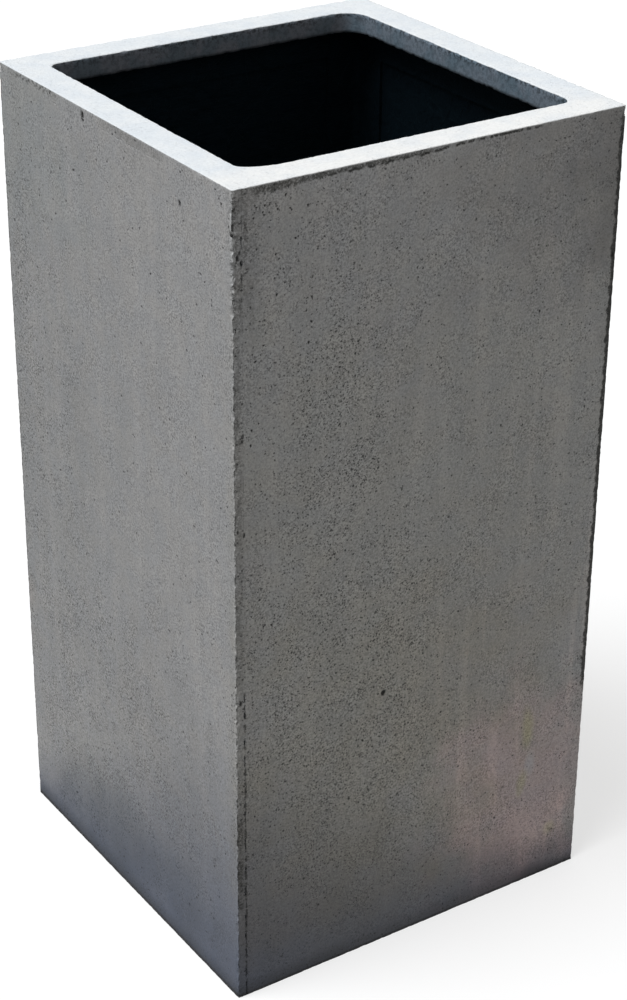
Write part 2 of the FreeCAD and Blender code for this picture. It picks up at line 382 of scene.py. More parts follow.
def make_cloudiness():
    """Uneven tone of a skin: grain, clouds and vertical runs, as a factor about 1, with masks of a second
    tint, of the runs and of the grain.
    """
    amounts = [("Grain", "Float", 0.25), ("Clouds", "Float", 0.14), ("Runs", "Float", 0.08)]
    outputs = [("Tone", "Float"), ("Tint", "Float"), ("Runs", "Float"), ("Grain", "Float")]
    group, given = new_group("cloudiness", [("Place", "Vector", None)] + amounts, outputs)
    place = given["Place"]
    grain = ramp(group, speckle(group, place, GRAIN_SIZE, 2.0, 0.65), 0.36, 0.64)
    clouds = speckle(group, place, CLOUD_SIZE, 5.0, 0.62)
    runs = speckle(group, stretched(group, place, *RUN_SIZE), 1.0, 3.0, 0.6)
    tone = 1.0
    for level, amount in ((grain, given["Grain"]), (clouds, given["Clouds"]), (runs, given["Runs"])):
        swing = times(group, minus(group, level, 0.5), amount)
        tone = plus(group, tone, times(group, 2.0, swing))
    tint = ramp(group, speckle(group, place, TINT_CLOUDS, 3.0, 0.6), 0.38, 0.62)
    streaks = ramp(group, runs, 0.50, 0.68)
    add(group, "NodeGroupOutput", {"Tone": tone, "Tint": tint, "Runs": streaks, "Grain": grain})
    return group


# Stains of the skin, and painted light as tints over whole faces: middle, and reach along x, y and z, in
# millimetres; tint that the skin is multiplied with, and share of it.
STAINS_AND_PAINTED_LIGHT = (
    # painted light: a warm tint over the whole front, for the warmer light on it
    ((0, -200, 450), (400, 25, 420), (0.99, 0.985, 0.95), 1.0),
    ((-60, -200, 220), (260, 25, 250), (0.95, 0.93, 0.87), 0.9),
    ((126, -200, 112), (142, 25, 175), (1.38, 1.155, 1.145), 0.9),
    ((70, -200, 270), (150, 25, 200), (1.01, 0.985, 0.96), 0.8),
    ((150, -200, 30), (130, 25, 85), (1.32, 1.17, 1.15), 0.5),
    ((131, -200, 186), (11, 9, 30), (1.06, 1.12, 0.84), 0.9),
    ((128, -200, 121), (9, 8, 20), (1.00, 1.07, 0.82), 0.9),
    ((136, -200, 142), (9, 9, 24), (0.98, 1.10, 1.16), 0.9),
    ((167, -200, 52), (12, 9, 12), (1.04, 1.08, 0.84), 0.8),
    ((150, -200, 780), (210, 25, 190), (0.81, 0.80, 0.79), 0.9),
    ((200, -200, 720), (75, 25, 190), (0.72, 0.72, 0.72), 0.9),
    # painted shade: the whole left face a little darker
    ((-200, 0, 400), (25, 900, 1200), (0.965, 0.96, 0.96), 1.0),
    ((-200, 200, 400), (25, 330, 430), (0.90, 0.91, 0.91), 1.0),
    ((-200, 190, 740), (25, 200, 160), (0.87, 0.90, 0.90), 0.9),
    ((-200, -60, 170), (25, 170, 190), (0.89, 0.89, 0.885), 0.9),
    ((-200, -60, 55), (25, 170, 80), (0.86, 0.87, 0.87), 0.9),
    ((-200, 70, 60), (25, 115, 100), (0.84, 0.85, 0.84), 0.9),
    ((200, 90, 420), (25, 170, 190), (1.10, 1.03, 0.97), 0.8),
    ((60, 200, 610), (140, 25, 150), (0.90, 0.94, 0.97), 0.8),
    ((-120, 200, 260), (120, 25, 110), (1.14, 1.05, 1.00), 0.8),
)
BUSY_PLACES = (  # where the skin is pitted most: middle, reach along x, y and z, and share
    ((-85, -200, 290), (190, 40, 330), 1.0),
    ((-100, -200, 530), (90, 40, 300), 0.8),
    ((-200, 60, 180), (25, 330, 260), 0.75),
    ((-200, 200, 450), (25, 170, 420), 0.75),
)
WANDER = (1.2, 1.2, 1.2)  # how far a stain's outline strays, in shares of its reach

WARM_STONE = grey(0.319, 1.008, 1.0, 0.985)
COOL_STONE = grey(0.312, 0.985, 0.995, 1.005)
# Painted highlight on the rims of the holes.
PIT_HIGHLIGHT = grey(0.46)
BARED_STONE = grey(0.56, 0.98, 1.0, 1.0)  # where an arris is worn
RUN_TINT = (1.22, 1.17, 1.15, 1.0)
DIRT_TINT = grey(0.26, 1.0, 1.0, 0.95)
# Painted shade that darkens holes and pits.
HOLE_PAINTED_SHADE = grey(0.10)

FOOT_NEAR = 340.0  # height of the painted shade on the foot at the near corner, in millimetres
FOOT_FALL = 0.82  # and how fast it falls along the front
LEFT_FALL = 0.70  # and along the left face
FOOT_LEAST = 62.0
FOOT_SHADE_NEAR = (0.315, 0.32, 0.355, 1.0)  # painted shade of the foot beside the left face
FOOT_SHADE_FAR = (0.44, 0.435, 0.435, 1.0)  # and further along the front
FOOT_SHADE_BLUE = (0.325, 0.37, 0.485, 1.0)  # and on the left face and close to the ground
# Near-black painted shade at the ground, and the painted contact shadow along it.
FOOT_DEEP_SHADE = grey(0.01, 0.9, 1.0, 1.2)
CONTACT_SHADOW = grey(0.008)


def patch(tree, place, middle, reach, wander=None):
    """1 about a place, 0 beyond its reach along each axis, with a wandering outline where one is given."""
    apart = vectors(tree, "DIVIDE", vectors(tree, "SUBTRACT", place, middle), reach)
    if wander:
        apart = vectors(tree, "MULTIPLY_ADD", wander, WANDER, apart)
    away = add(tree, "ShaderNodeVectorMath", {0: apart}, operation="LENGTH").outputs["Value"]
    return ramp(tree, away, 0.2, 1.0, 1.0, 0.0)


def busy_share(tree, place):
    """How crowded with holes the skin is at a place."""
    busy = 0.0
    for middle, reach, share in BUSY_PLACES:
        busy = larger(tree, busy, times(tree, share, patch(tree, place, middle, reach)))
    return busy


def with_stains_and_painted_light(tree, stone, place):
    """The stone with its stains, and the painted light of the whole-face tints."""
    wander = drift(tree, place, 1 / 45, 3.0)
    for middle, reach, tint, share in STAINS_AND_PAINTED_LIGHT:
        near = times(tree, share, patch(tree, place, middle, reach, wander))
        stone = tinted(tree, near, stone, (*tint, 1.0))
    return stone


def pale_runs(tree, stone, place, runs):
    """Pale, warm vertical runs, most of them low on the right of the front."""
    x, _, height = split(tree, place)
    right = ramp(tree, x, -60, 120)
    low = ramp(tree, height, 250, 620, 1.0, 0.15)
    share = plus(tree, 0.16, times(tree, 0.5, times(tree, right, low)))
    return tinted(tree, times(tree, runs, share), stone, RUN_TINT)


def shaded_foot(tree, stone, place):
    """Paints shade on the foot: high at the near corner, low further off, bluish on the left, with a black
    painted contact shadow at the ground.
    """
    x, y, height = split(tree, place)
    from_left = size_of(tree, plus(tree, x, SIDE_MM))
    from_front = size_of(tree, plus(tree, y, SIDE_MM))
    fall = plus(tree, times(tree, FOOT_FALL, from_left), times(tree, LEFT_FALL, from_front))
    reach = larger(tree, FOOT_LEAST, minus(tree, FOOT_NEAR, fall))
    swell = minus(tree, speckle(tree, place, 50), 0.5)
    foot_shade = ramp(tree, plus(tree, height, times(tree, swell, 40)), 0.0, reach, 1.0, 0.0)
    on_left_face = ramp(tree, x, *LEFT_FACE, 1.0, 0.0)
    blue_shade = larger(tree, on_left_face, ramp(tree, height, 15, 70, 0.5, 0.0))
    tint = blend(tree, ramp(tree, from_left, 20, 125), FOOT_SHADE_NEAR, FOOT_SHADE_FAR)
    stone = tinted(tree, foot_shade, stone, blend(tree, blue_shade, tint, FOOT_SHADE_BLUE))

    # Near-black painted shade along the ground, strongest towards the far end, and a thin painted contact
    # shadow.
    far_end = ramp(tree, from_left, 280, 350, 0.0, 0.80)
    ends = larger(tree, far_end, ramp(tree, from_left, 70, 150, 0.58, 0.45))
    deep_shade = ramp(tree, height, 0, ramp(tree, from_left, 330, 390, 24, 13), 1.0, 0.0)
    stone = blend(tree, times(tree, ends, deep_shade), stone, FOOT_DEEP_SHADE)
    line_top = blend_share(tree, on_left_face, 4.4, 6.5)
    line_share = blend_share(tree, on_left_face, 0.68, 0.85)
    return blend(tree, ramp(tree, height, 2.0, line_top, line_share, 0.0), stone, CONTACT_SHADOW)


def soiled_and_shaded(tree, stone, place, given, pinholes):
    """The stone with its dirt and painted shade, darkest where they are strongest, and with painted shade in
    its holes and pits.
    """
    patches = ramp(tree, speckle(tree, place, DIRT_SPECKS, 3.0, 0.8), 0.36, 0.60, 0.20, 1.30)
    dirt = times(tree, given["Dirt And Shade"], patches, clamp=True)
    stone = tinted(tree, dirt, stone, DIRT_TINT)
    shade = multiplied(tree, stone, HOLE_PAINTED_SHADE)
    # The holes on the left face, which faces the light, get less painted shade.
    hole_shade_share = ramp(tree, split(tree, place)[0], *LEFT_FACE, 0.80, 0.92)
    stone = blend(tree, times(tree, pinholes, hole_shade_share), stone, shade)
    caked = times(tree, minus(tree, given["Dirt And Shade"], 1.0, clamp=True), patches, clamp=True)
    stone = blend(tree, times(tree, 0.85, caked), stone, shade)
    return blend(tree, times(tree, given["Pit"], 0.9, clamp=True), stone, shade)


def make_cast_stone(groups):
    """The cast skin: stone grain, stains and painted light over whole faces, painted shade on the foot, worn
    arrises, dirt and painted shade, and holes with painted shade in them and painted highlights beside them.
    """
    inputs = [("Place", "Vector", None)] + [(mark, "Float", 0.0) for mark in ("Wear", "Dirt And Shade", "Pit")]
    masks = [(label, "Float") for label in ("Height", "Roughness", "Holes", "Tint")]
    group, given = new_group("cast_stone", inputs, [("Colour", "Color")] + masks)
    place = given["Place"]
    busy = busy_share(group, place)
    share = blend_share(group, busy, 0.70, 1.75)
    air = place_group(group, groups["air_holes"], {"Place": place, "Share": share})
    crowding = air["Crowding"]
    grain = plus(group, blend_share(group, crowding, 0.13, 0.30), times(group, 0.07, busy))
    clouds = place_group(group, groups["cloudiness"], {"Place": place, "Grain": grain})

    stone = multiplied(group, blend(group, clouds["Tint"], WARM_STONE, COOL_STONE), clouds["Tone"])
    stone = multiplied(group, stone, minus(group, 1.03, times(group, 0.06, crowding)))
    # Pale flecks painted beside the holes as highlights on their rims.
    stone = blend(group, times(group, 0.6, air["Flecks"]), stone, PIT_HIGHLIGHT)
    stone = with_stains_and_painted_light(group, pale_runs(group, stone, place, clouds["Runs"]), place)
    bared = times(group, given["Wear"], blend_share(group, given["Dirt And Shade"], 0.55, 0.0), clamp=True)
    stone = shaded_foot(group, blend(group, bared, stone, BARED_STONE), place)
    stone = soiled_and_shaded(group, stone, place, given, air["Holes"])

    relief = minus(group, times(group, clouds["Grain"], 0.25), air["Holes"])
    gloss = ramp(group, clouds["Grain"], 0.3, 0.7, 0.66, 0.84)
    add(group, "NodeGroupOutput", {
        "Colour": stone, "Height": relief, "Roughness": gloss, "Holes": air["Holes"], "Tint": clouds["Tint"]})
    return group


# --- finishes ------------------------------------------------------------------------------------------

RIM_TOP_PAINTED_LIGHT = ((0.618, 0.655, 0.688, 1.0), (0.672, 0.698, 0.714, 1.0))  # painted light: the rim's flat top, made pale as the light from above makes it, and its smudges
RIM_FRONT_TINT = (1.08, 1.045, 1.01, 1.0)
# The lip's dark bluish greys: partly its darker overspray, partly painted shade of the mouth; the right lip
# is painted paler, as lit from the left.
LIP_PAINTED_SHADE = ((0.085, 0.105, 0.125, 1.0), (0.115, 0.125, 0.145, 1.0))
LIP_RIGHT_PAINTED_LIGHT = (1.30, 1.48, 1.55, 1.0)
MAT_TURNS = (15, 75, 135)  # the ways that strands lie in the mat, in degrees
MAT_STRETCH = (0.05, 0.9, 0.9)  # waves in a millimetre along a strand and across it
MAT_BEND = 0.05  # and of the pattern that bends the strands
RESIN_SHEEN = (0.45, 0.95, 1.25, 1.0)


def new_material(name):
    """An empty material, its tree and the object's own coordinates in millimetres."""
    material = bpy.data.materials.new(name)
    tree = cleared(material)
    own = add(tree, "ShaderNodeTexCoord").outputs["Object"]
    place = add(tree, "ShaderNodeMapping", {"Vector": own, "Scale": (1 / MM, 1 / MM, 1 / MM)}).outputs[0]
    return material, tree, place


def close_material(tree, colour, gloss, relief, constants, strength, depth):
    """Gives a finish its shader, with a bump of a strength and a depth. constants are set on the shader."""
    bump = add(tree, "ShaderNodeBump", {"Strength": strength, "Distance": depth, "Height": relief})
    sources = {"Base Color": colour, "Roughness": gloss, "Normal": bump.outputs[0], **constants}
    shader = add(tree, "ShaderNodeBsdfPrincipled", sources)
    add(tree, "ShaderNodeOutputMaterial", {"Surface": shader.outputs[0]})


def cast_marks(tree, place):
    """The inputs of the cast stone, with the marks that each piece carries on its mesh."""
    marks = {"Place": place}
    for label, name in (("Wear", "wear"), ("Dirt And Shade", "dirt_and_shade"), ("Pit", "pit")):
        marks[label] = add(tree, "ShaderNodeAttribute", attribute_name=name).outputs["Fac"]
    return marks


def close_cast(tree, colour, cast):
    """Gives a cast finish its shader."""
    constants = {"Specular IOR Level": 0.3}
    close_material(tree, colour, cast["Roughness"], cast["Height"], constants, strength=0.7, depth=0.6 * MM)


def wall_finish(groups):
    """Concrete-look skin of the panels."""
    material, tree, place = new_material("cast_skin")
    cast = place_group(tree, groups["cast_stone"], cast_marks(tree, place))
    close_cast(tree, cast["Colour"], cast)
    return material


def painted_lit_top(tree, place, pinholes):
    """The rim's flat top, painted pale for the light that falls on it from above: smudged, finely speckled
    and warmer at the front.
    """
    smudges = ramp(tree, speckle(tree, place, SMUDGE_SIZE, 4.0, 0.65), 0.36, 0.64)
    fine = blend_share(tree, speckle(tree, place, TOP_SPECKS, 3.0, 0.7), 0.84, 1.16)
    pale = multiplied(tree, blend(tree, smudges, *RIM_TOP_PAINTED_LIGHT), fine)
    front = ramp(tree, split(tree, place)[1], -175, -150, 1.0, 0.0)
    pale = tinted(tree, front, pale, RIM_FRONT_TINT)
    return blend(tree, times(tree, pinholes, 0.18), pale, grey(0.35))


def shaded_lip(tree, place, tint):
    """The lip that turns down into the mouth: dark, partly its own darker overspray and partly painted shade,
    specked near the top, and painted paler where it faces left, towards the light.
    """
    x, _, height = split(tree, place)
    facing_left = ramp(tree, x, 148, 164)
    # Painted light: the side that faces left is made paler, as the light from the left falls on it.
    lip = tinted(tree, facing_left, blend(tree, tint, *LIP_PAINTED_SHADE), LIP_RIGHT_PAINTED_LIGHT)
    specks = ramp(tree, speckle(tree, place, LIP_SPECKS, 3.0, 0.7), 0.38, 0.58, 0.25, 1.15)
    upper = ramp(tree, height, TOP_MM - 9, TOP_MM - 1)
    lip = tinted(tree, blend_share(tree, upper, 0.35, 1.0), lip, specks)
    under = ramp(tree, height, LIP_FOOT_MM + 1.0, LIP_FOOT_MM + 3.5, 0.6, 0.0)
    return blend(tree, under, lip, grey(0.01))


def rim_finish(groups):
    """The same skin, with painted light on the rim's pale top and painted shade on its dark lip."""
    material, tree, place = new_material("cast_rim_skin")
    cast = place_group(tree, groups["cast_stone"], cast_marks(tree, place))
    x, y, height = split(tree, place)
    across = larger(tree, size_of(tree, x), size_of(tree, y))
    inward = ramp(tree, across, SIDE_MM - 3, SIDE_MM - 1.5, 1.0, 0.0)
    top = ramp(tree, height, TOP_MM - 1.1, TOP_MM - 0.4)
    inner = times(tree, inward, minus(tree, 1.0, top))
    skin = blend(tree, inner, cast["Colour"], shaded_lip(tree, place, cast["Tint"]))
    # The flat top takes a paler colour that stands in for the light from above.
    close_cast(tree, blend(tree, top, skin, painted_lit_top(tree, place, cast["Holes"])), cast)
    return material


def laminate_finish(name, groups, level, tint, roughness):
    """Brushed-on resin over chopped glass mat: strands stand out in a dull to satin coat."""
    material, tree, place = new_material(name)
    clouds = place_group(tree, groups["cloudiness"], {"Place": place, "Clouds": 0.3, "Grain": 0.25})
    bend = add(tree, "ShaderNodeTexNoise", {"Vector": place, "Scale": MAT_BEND}).outputs["Color"]
    bent = vectors(tree, "ADD", place, bend)
    strands = 0.0
    for turn in MAT_TURNS:
        angles = (math.radians(turn), math.radians(turn / 2), math.radians(turn))
        sources = {"Vector": bent, "Rotation": angles, "Scale": MAT_STRETCH}
        turned = add(tree, "ShaderNodeMapping", sources).outputs[0]
        strands = larger(tree, strands, ramp(tree, speckle(tree, turned, 1.0, 1.0), 0.56, 0.66))
    base = multiplied(tree, grey(level, *tint), clouds["Tone"])
    base = blend(tree, times(tree, strands, 0.3), base, grey(level * 2.2, *tint))
    relief = plus(tree, strands, times(tree, 2.0, clouds["Tint"]))
    gloss = ramp(tree, clouds["Grain"], 0.3, 0.7, roughness, roughness + 0.15)
    constants = {"Specular IOR Level": 0.10, "Specular Tint": RESIN_SHEEN}
    close_material(tree, base, gloss, relief, constants, strength=0.8, depth=0.5 * MM)
    return material


def rubber_finish(groups):
    """Black rubber with a dusty bloom."""
    material, tree, place = new_material("plug_rubber")
    clouds = place_group(tree, groups["cloudiness"], {"Place": place, "Clouds": 0.25, "Grain": 0.2})
    base = multiplied(tree, grey(0.022), clouds["Tone"])
    base = blend(tree, times(tree, clouds["Tint"], 0.12), base, grey(0.16, 1.05, 1.0, 0.9))
    gloss = ramp(tree, clouds["Tint"], 0.2, 0.8, 0.48, 0.66)
    close_material(tree, base, gloss, clouds["Grain"], {}, strength=0.3, depth=0.2 * MM)
    return material


# --- where the skin is worn, dirty, darkened with painted shade, rough or pitted -----------------------

# Pits that stand out on the two faces in view: place across and up the face, and radius, in millimetres.
MARKED_PITS = {
    "front": (
        (-42, 284, 3.0), (-177, 781, 1.1), (-157, 776, 1.2), (-120, 772, 0.9), (-115, 772, 0.9),
        (-140, 748, 1.3), (-159, 738, 1.2), (-177, 746, 1.1), (-157, 720, 1.0), (-150, 712, 1.1),
        (-145, 712, 0.9), (-158, 703, 1.3), (-124, 694, 1.3), (-134, 764, 0.9), (-171, 776, 1.1),
    ),
    "left": (
        (-119, 764, 2.4), (-184, 783, 1.6), (21, 759, 1.3), (2, 763, 1.2),
        (64, 737, 1.5), (107, 722, 1.2), (150, 709, 1.1), (119, 741, 1.1), (-172, 455, 1.4),
    ),
}
# Notches at an arris, a seam or a joint: place and size, in millimetres.
NOTCHES = (
    ((-200, -200, 761), 1.9), ((-195, -200, 742), 1.9), ((-191.5, -200, 737), 1.6), ((-193, -200, 746), 1.4),
    ((-200, -200, 680), 1.9), ((-191.2, -200, 584), 1.5), ((-191.8, -200, 579.5), 1.4),
    ((-196.5, -200, 495.5), 1.3), ((-190.5, -200, 491.5), 1.6), ((-195, -200, 325), 1.9),
    ((-191, -200, 311), 1.6), ((-200, 43.6, 791.5), 3.0), ((197, -200, 662), 1.8),
)
FLUSH = 0.4 * MM  # how far below the outer faces a point still counts as on them
ARRIS_REACH = 5.0 * MM  # how far wear reaches from an arris
SEAM_REACH = 1.3 * MM  # and from an open seam
JOINT_REACH = 1.2 * MM  # and from the joint under the rim
FOOT_REACH = 2.4 * MM  # and from the ground
SEAM_DIRT = 4 * MM  # how far dirt strays from a seam
MOTTLED_REACH = 34 * MM  # how far the mottled patch reaches from the near arris
RIGHT_LINE_REACH = 10 * MM  # and the dark line of painted shade from the right arris
OPEN_SEAM_TOP = 0.24  # level up to which the near seam has opened most
BAND_REACH = 15 * MM  # the rough band under the rim ends above this depth


def fade(value, start, end):
    """1 up to start, 0 from end on, smooth between."""
    share = min(max((value - start) / (end - start), 0.0), 1.0)
    return 1 - share * share * (3 - 2 * share)


def uneven(place, size, salt):
    """A slow wobble along a line, from about 0 to 1."""
    return 0.5 + 0.9 * noise.noise(Vector((place / size, salt, 0.37 * salt)))


def band_depth(x):
    """How deep the rough band under the rim reaches at a place along the front, both in millimetres."""
    reach = 5.5 + 3.2 * fade(x, -165, -108) - 2.5 * (1 - fade(x, -20, 45))
    return reach * (0.85 + 0.3 * uneven(x, 5, 3.0))


def open_band(x, depth):
    """The rough, open band at the top of the front: deep at the left, gone right of the middle."""
    x, depth = x / MM, depth / MM
    reach = band_depth(x)
    shown = (1 - 0.65 * fade(x, -186, -172)) * (0.3 + 0.7 * fade(x, -40, 20)) * fade(x, 90, 112)
    return shown * fade(depth, 0.7 * reach, reach + 1.0) * (1 - fade(depth, 0.6, 2.0))


def open_line(x, depth):
    """The dark, broken line along the foot of that band."""
    x, depth = x / MM, depth / MM
    shown = (1 - fade(uneven(x, 9, 6.0), 0.32, 0.46)) * (1 - 0.6 * fade(x, -130, -95)) * fade(x, 100, 112)
    return shown * fade(abs(depth - band_depth(x) + 0.6), 0.4, 1.5)


def on_front(point):
    """Whether a point lies on the front face."""
    return point.y < FLUSH - HALF


def on_left(point):
    """Whether a point lies on the left face."""
    return point.x < FLUSH - HALF


def corner_salt(x, y):
    """A number of its own for each corner, so that the seams beside them differ."""
    return math.copysign(1, x) + 2 * math.copysign(1, y)


def chipped_stretch(y):
    """1 along the stretch of the left joint where the rim's foot is chipped."""
    return fade(abs(y + 0.04), 0.04, 0.06)


def chipped_foot(point):
    """How worn the joint on the left is by those chips."""
    return 0.22 * chipped_stretch(point.y) if on_left(point) else 0.0


def seam_showing(point):
    """How far the seam beside an arris shows: at the near arris most, low down and near its top."""
    if point.y > 0:
        return 0.5
    if point.x > 0:
        return 0.15
    return max(0.95 * fade(point.z, 0.31, 0.36), 0.7 * fade(-point.z, -0.74, -0.68), 0.12)


def wear_at(point):
    """How worn an arris or joint is at a point of an outer face, by its distance to each of them."""
    x, y, z = point
    off_x, off_y = HALF - abs(x), HALF - abs(y)
    if min(off_x, off_y) > FLUSH:
        return 0.0
    near = x < 0 and y < 0
    strength = 1.15 - 0.75 * fade(z, 0.66, 0.72) if near else 0.18
    wear = strength * fade(math.hypot(off_x, off_y), 0.0, ARRIS_REACH)
    wear = max(wear, 0.13 * fade(math.hypot(z, min(off_x, off_y)), 0.0, FOOT_REACH))
    seam = math.hypot(abs(x) - SEAM, off_y)
    if seam < SEAM_REACH:
        gaps = 0.40 if near and z < OPEN_SEAM_TOP else 0.62
        along = uneven(z / MM, 9, 1.0 + corner_salt(x, y))
        opened = 0.75 * (1 - fade(along, gaps, gaps + 0.1)) * seam_showing(point)
        wear = max(wear, opened * fade(seam, 0.0, SEAM_REACH))
    joint = math.hypot(JOINT - z, min(off_x, off_y))
    if joint < JOINT_REACH:
        strip = 0.5 * (1 - fade(uneven((x + y) / MM, 14, 8.0), 0.80, 0.88))
        wear = max(wear, max(strip, chipped_foot(point)) * fade(joint, 0.0, JOINT_REACH))
    return wear


def notch_at(point):
    """How deep the notches are at a point."""
    depth = 0.0
    if not (on_front(point) or on_left(point)):
        return depth
    for middle, size in NOTCHES:
        apart = (point / MM - Vector(middle)) * Vector((1, 1, 0.5))
        depth = max(depth, 0.8 * size * fade(apart.length, 0.3 * size, size))
    return depth


def dirt_and_shade_at(point):
    """How dark the skin is at a point of an outer face, with dirt and with painted shade."""
    x, y, z = point
    dirt_and_shade = seam_shade_and_dirt(point)
    if on_front(point):
        dirt_and_shade = max(dirt_and_shade, front_left_grime(x + HALF, z), right_arris_shade(HALF - x, z))
        depth = TOP - z
        if depth < BAND_REACH:
            dirt_and_shade = max(dirt_and_shade, 0.95 * open_band(x, depth), 2.0 * open_line(x, depth))
    if on_left(point):
        dirt_and_shade = max(dirt_and_shade, left_grime(y, z))
    return dirt_and_shade


def seam_shade_and_dirt(point):
    """The dark, dotted line of the seam beside an arris: painted shade in the open seam, with dirt."""
    x, y, z = point
    if HALF - abs(y) >= FLUSH or abs(abs(x) - SEAM) >= SEAM_DIRT:
        return 0.0
    corner = corner_salt(x, y)
    gaps = 0.25 if x < 0 and y < 0 and z < OPEN_SEAM_TOP else 0.55
    dots = 1 - fade(uneven(z / MM, 5, 1.0 + corner), gaps, gaps + 0.17)
    strayed = abs(abs(x) - SEAM + 0.9 * MM * noise.noise(Vector((z / MM / 9, corner, 1.7)))) / MM
    width = 0.3 + 0.7 * max(uneven(z / MM, 12, 2.3), 0)
    return seam_showing(point) * dots * fade(strayed, width, width + 1.0)


def front_left_grime(from_left, z):
    """Dirt along the near arris: a dark strip, dark blotches low down and a mottled patch at the top."""
    if from_left > MOTTLED_REACH:
        return 0.0
    mottled = 0.75 + 0.9 * noise.noise(Vector((from_left / MM / 5, z / MM / 8, 5.0)))
    strip = (0.12 + 0.34 * (1 - fade(z, 0.30, 0.38))) * mottled * fade(from_left, 5.5 * MM, 9.5 * MM)
    top = 0.62 * mottled * fade(-z, -0.71, -0.64) * fade(from_left, 7 * MM, MOTTLED_REACH)
    blotches = 1 - fade(uneven(z / MM, 16, 6.5), 0.40, 0.62)
    blotches *= 0.8 * fade(abs(z - 0.14), 0.05, 0.08) * fade(from_left, 5 * MM, 8 * MM)
    return max(strip, top, blotches)


def right_arris_shade(from_right, z):
    """Painted shade: the dark, ragged line down the right arris, where it rounds over to the shaded right
    face, with one wider spot.
    """
    if from_right > RIGHT_LINE_REACH:
        return 0.0
    ragged = (3.0 + 3.6 * max(uneven(z / MM, 6, 2.0), 0)) * MM
    line = 3.4 * fade(from_right, 0.5 * ragged, ragged + 0.6 * MM) * fade(abs(z - 0.50), 0.27, 0.30)
    spot = fade(math.hypot(from_right, z - 0.554), 2.5 * MM, 6 * MM)
    return max(line, spot)


def left_grime(y, z):
    """Dirt on the left face: specks under the rim's far end, the joint strip, and a line at the far arris."""
    depth, from_back = (TOP - z) / MM, (HALF - y) / MM
    dirt_and_shade = 0.0
    if depth < 10:
        specks = 1 - fade(noise.noise(Vector((y / MM / 4, z / MM / 2.5, 4.0))), 0.0, 0.3)
        dirt_and_shade = 0.85 * specks * fade(abs(y - 0.138), 0.035, 0.050) * fade(depth, 4, 8)
        dirt_and_shade = max(dirt_and_shade, 0.25 * chipped_stretch(y) * fade(depth, 8, 10))
    if from_back < 2.4:
        dirt_and_shade = max(dirt_and_shade, (0.5 + 0.6 * uneven(z / MM, 9, 7.0)) * fade(from_back, 0.6, 2.4))
    return dirt_and_shade


def roughness_at(point):
    """How broken up the skin is, over its usual grain."""
    if not on_front(point):
        return 0.0
    strip = 0.75 * fade(point.x + HALF, 5 * MM, 11 * MM)
    return max(strip, open_band(point.x, TOP - point.z), open_line(point.x, TOP - point.z))


# --- cast faces ----------------------------------------------------------------------------------------

MARKS = ("wear", "dirt_and_shade", "rough", "pit")  # what each vertex of a cast piece carries
OPPOSITE = {"front": "back", "back": "front", "left": "right", "right": "left"}
PITS_PER_FACE = 150
CROWD = 90  # pits more at the top of the near arris
PIT_MARGIN = 8 * MM  # no pit is drawn closer to an edge
CROWD_MARGIN = 3 * MM  # but for the crowded ones
CROWD_SIZE = (75 * MM, 230 * MM)  # how far they go across and down
# Rings of points that shape a pit: reach in radii, number of points, and share of the pit's depth.
PIT_RINGS = ((0.0, 1, 1.0), (0.45, 7, 0.85), (0.8, 9, 0.4), (1.0, 11, 0.05), (1.4, 11, 0.0))
PIT_CLEARANCE = 1.6  # the other points of a face keep this many radii away
CAST_GROWTH = 0.45  # how fast the spacing of points grows away from an edge or a pit
LINING_GROWTH = 0.9
BROKEN = 0.05  # from this roughness on, the points stay close
SPLIT_FROM = 1.4  # a cell splits when it is this many times as large as wanted
SHAKE = 0.18  # how far a point strays in its cell
ONE_POINT = 1e-7  # points of a face closer than this are one, in metres
WELD = 0.02 * MM  # and those where faces meet
ON_A_LINE = 0.01 * MM  # a point this close to a joint line is on it


class Face:
    """One flat, rectangular face of a panel: its corner, its two directions and the way it looks."""

    def __init__(self, corner, across, up, facing):
        self.corner = Vector(corner)
        self.across = Vector(across)
        self.up = Vector(up)
        self.wide = self.across.length
        self.tall = self.up.length
        self.facing = facing

    def point(self, u, v):
        """The place at u across and v up."""
        return self.corner + self.across * (u / self.wide) + self.up * (v / self.tall)

    def edge_gap(self, u, v):
        """How far u, v is from the nearest edge."""
        return min(u, v, self.wide - u, self.tall - v)


def stops(length):
    """Evenly spaced places from 0 to length."""
    count = max(1, round(length / FINE))
    return [length * step / count for step in range(count + 1)]


def border(face):
    """Points round a face, shared with its neighbours."""
    across, up = stops(face.wide), stops(face.tall)
    low_side = [(u, 0.0) for u in across] + [(face.wide, v) for v in up[1:]]
    high_side = [(u, face.tall) for u in across[:-1]] + [(0.0, v) for v in up[1:-1]]
    return low_side + high_side


def pits_on(face, count, draws):
    """Air pits of a face, each a place and a radius; none where count is 0."""
    pits = []
    marked = MARKED_PITS.get(face.facing, ()) if count else ()
    for across, up, radius in marked:
        u = face.wide / 2 + across * MM * (1 if face.facing == "front" else -1)
        pits.append((u, up * MM, radius * MM))
    crowd = CROWD if count and face.facing == "front" else 0
    for turn in range(count + crowd):
        if turn < count:
            u = draws.uniform(PIT_MARGIN, face.wide - PIT_MARGIN)
            v = draws.uniform(PIT_MARGIN, face.tall - PIT_MARGIN)
        else:
            u = CROWD_MARGIN + CROWD_SIZE[0] * draws.random() ** 1.7
            v = face.tall - CROWD_MARGIN - CROWD_SIZE[1] * draws.random() ** 1.4
        radius = (0.6 + 0.9 * draws.random() ** 3) * MM
        if all(math.hypot(u - pu, v - pv) > 2 * (radius + pr) for pu, pv, pr in pits):
            pits.append((u, v, radius))
    return pits


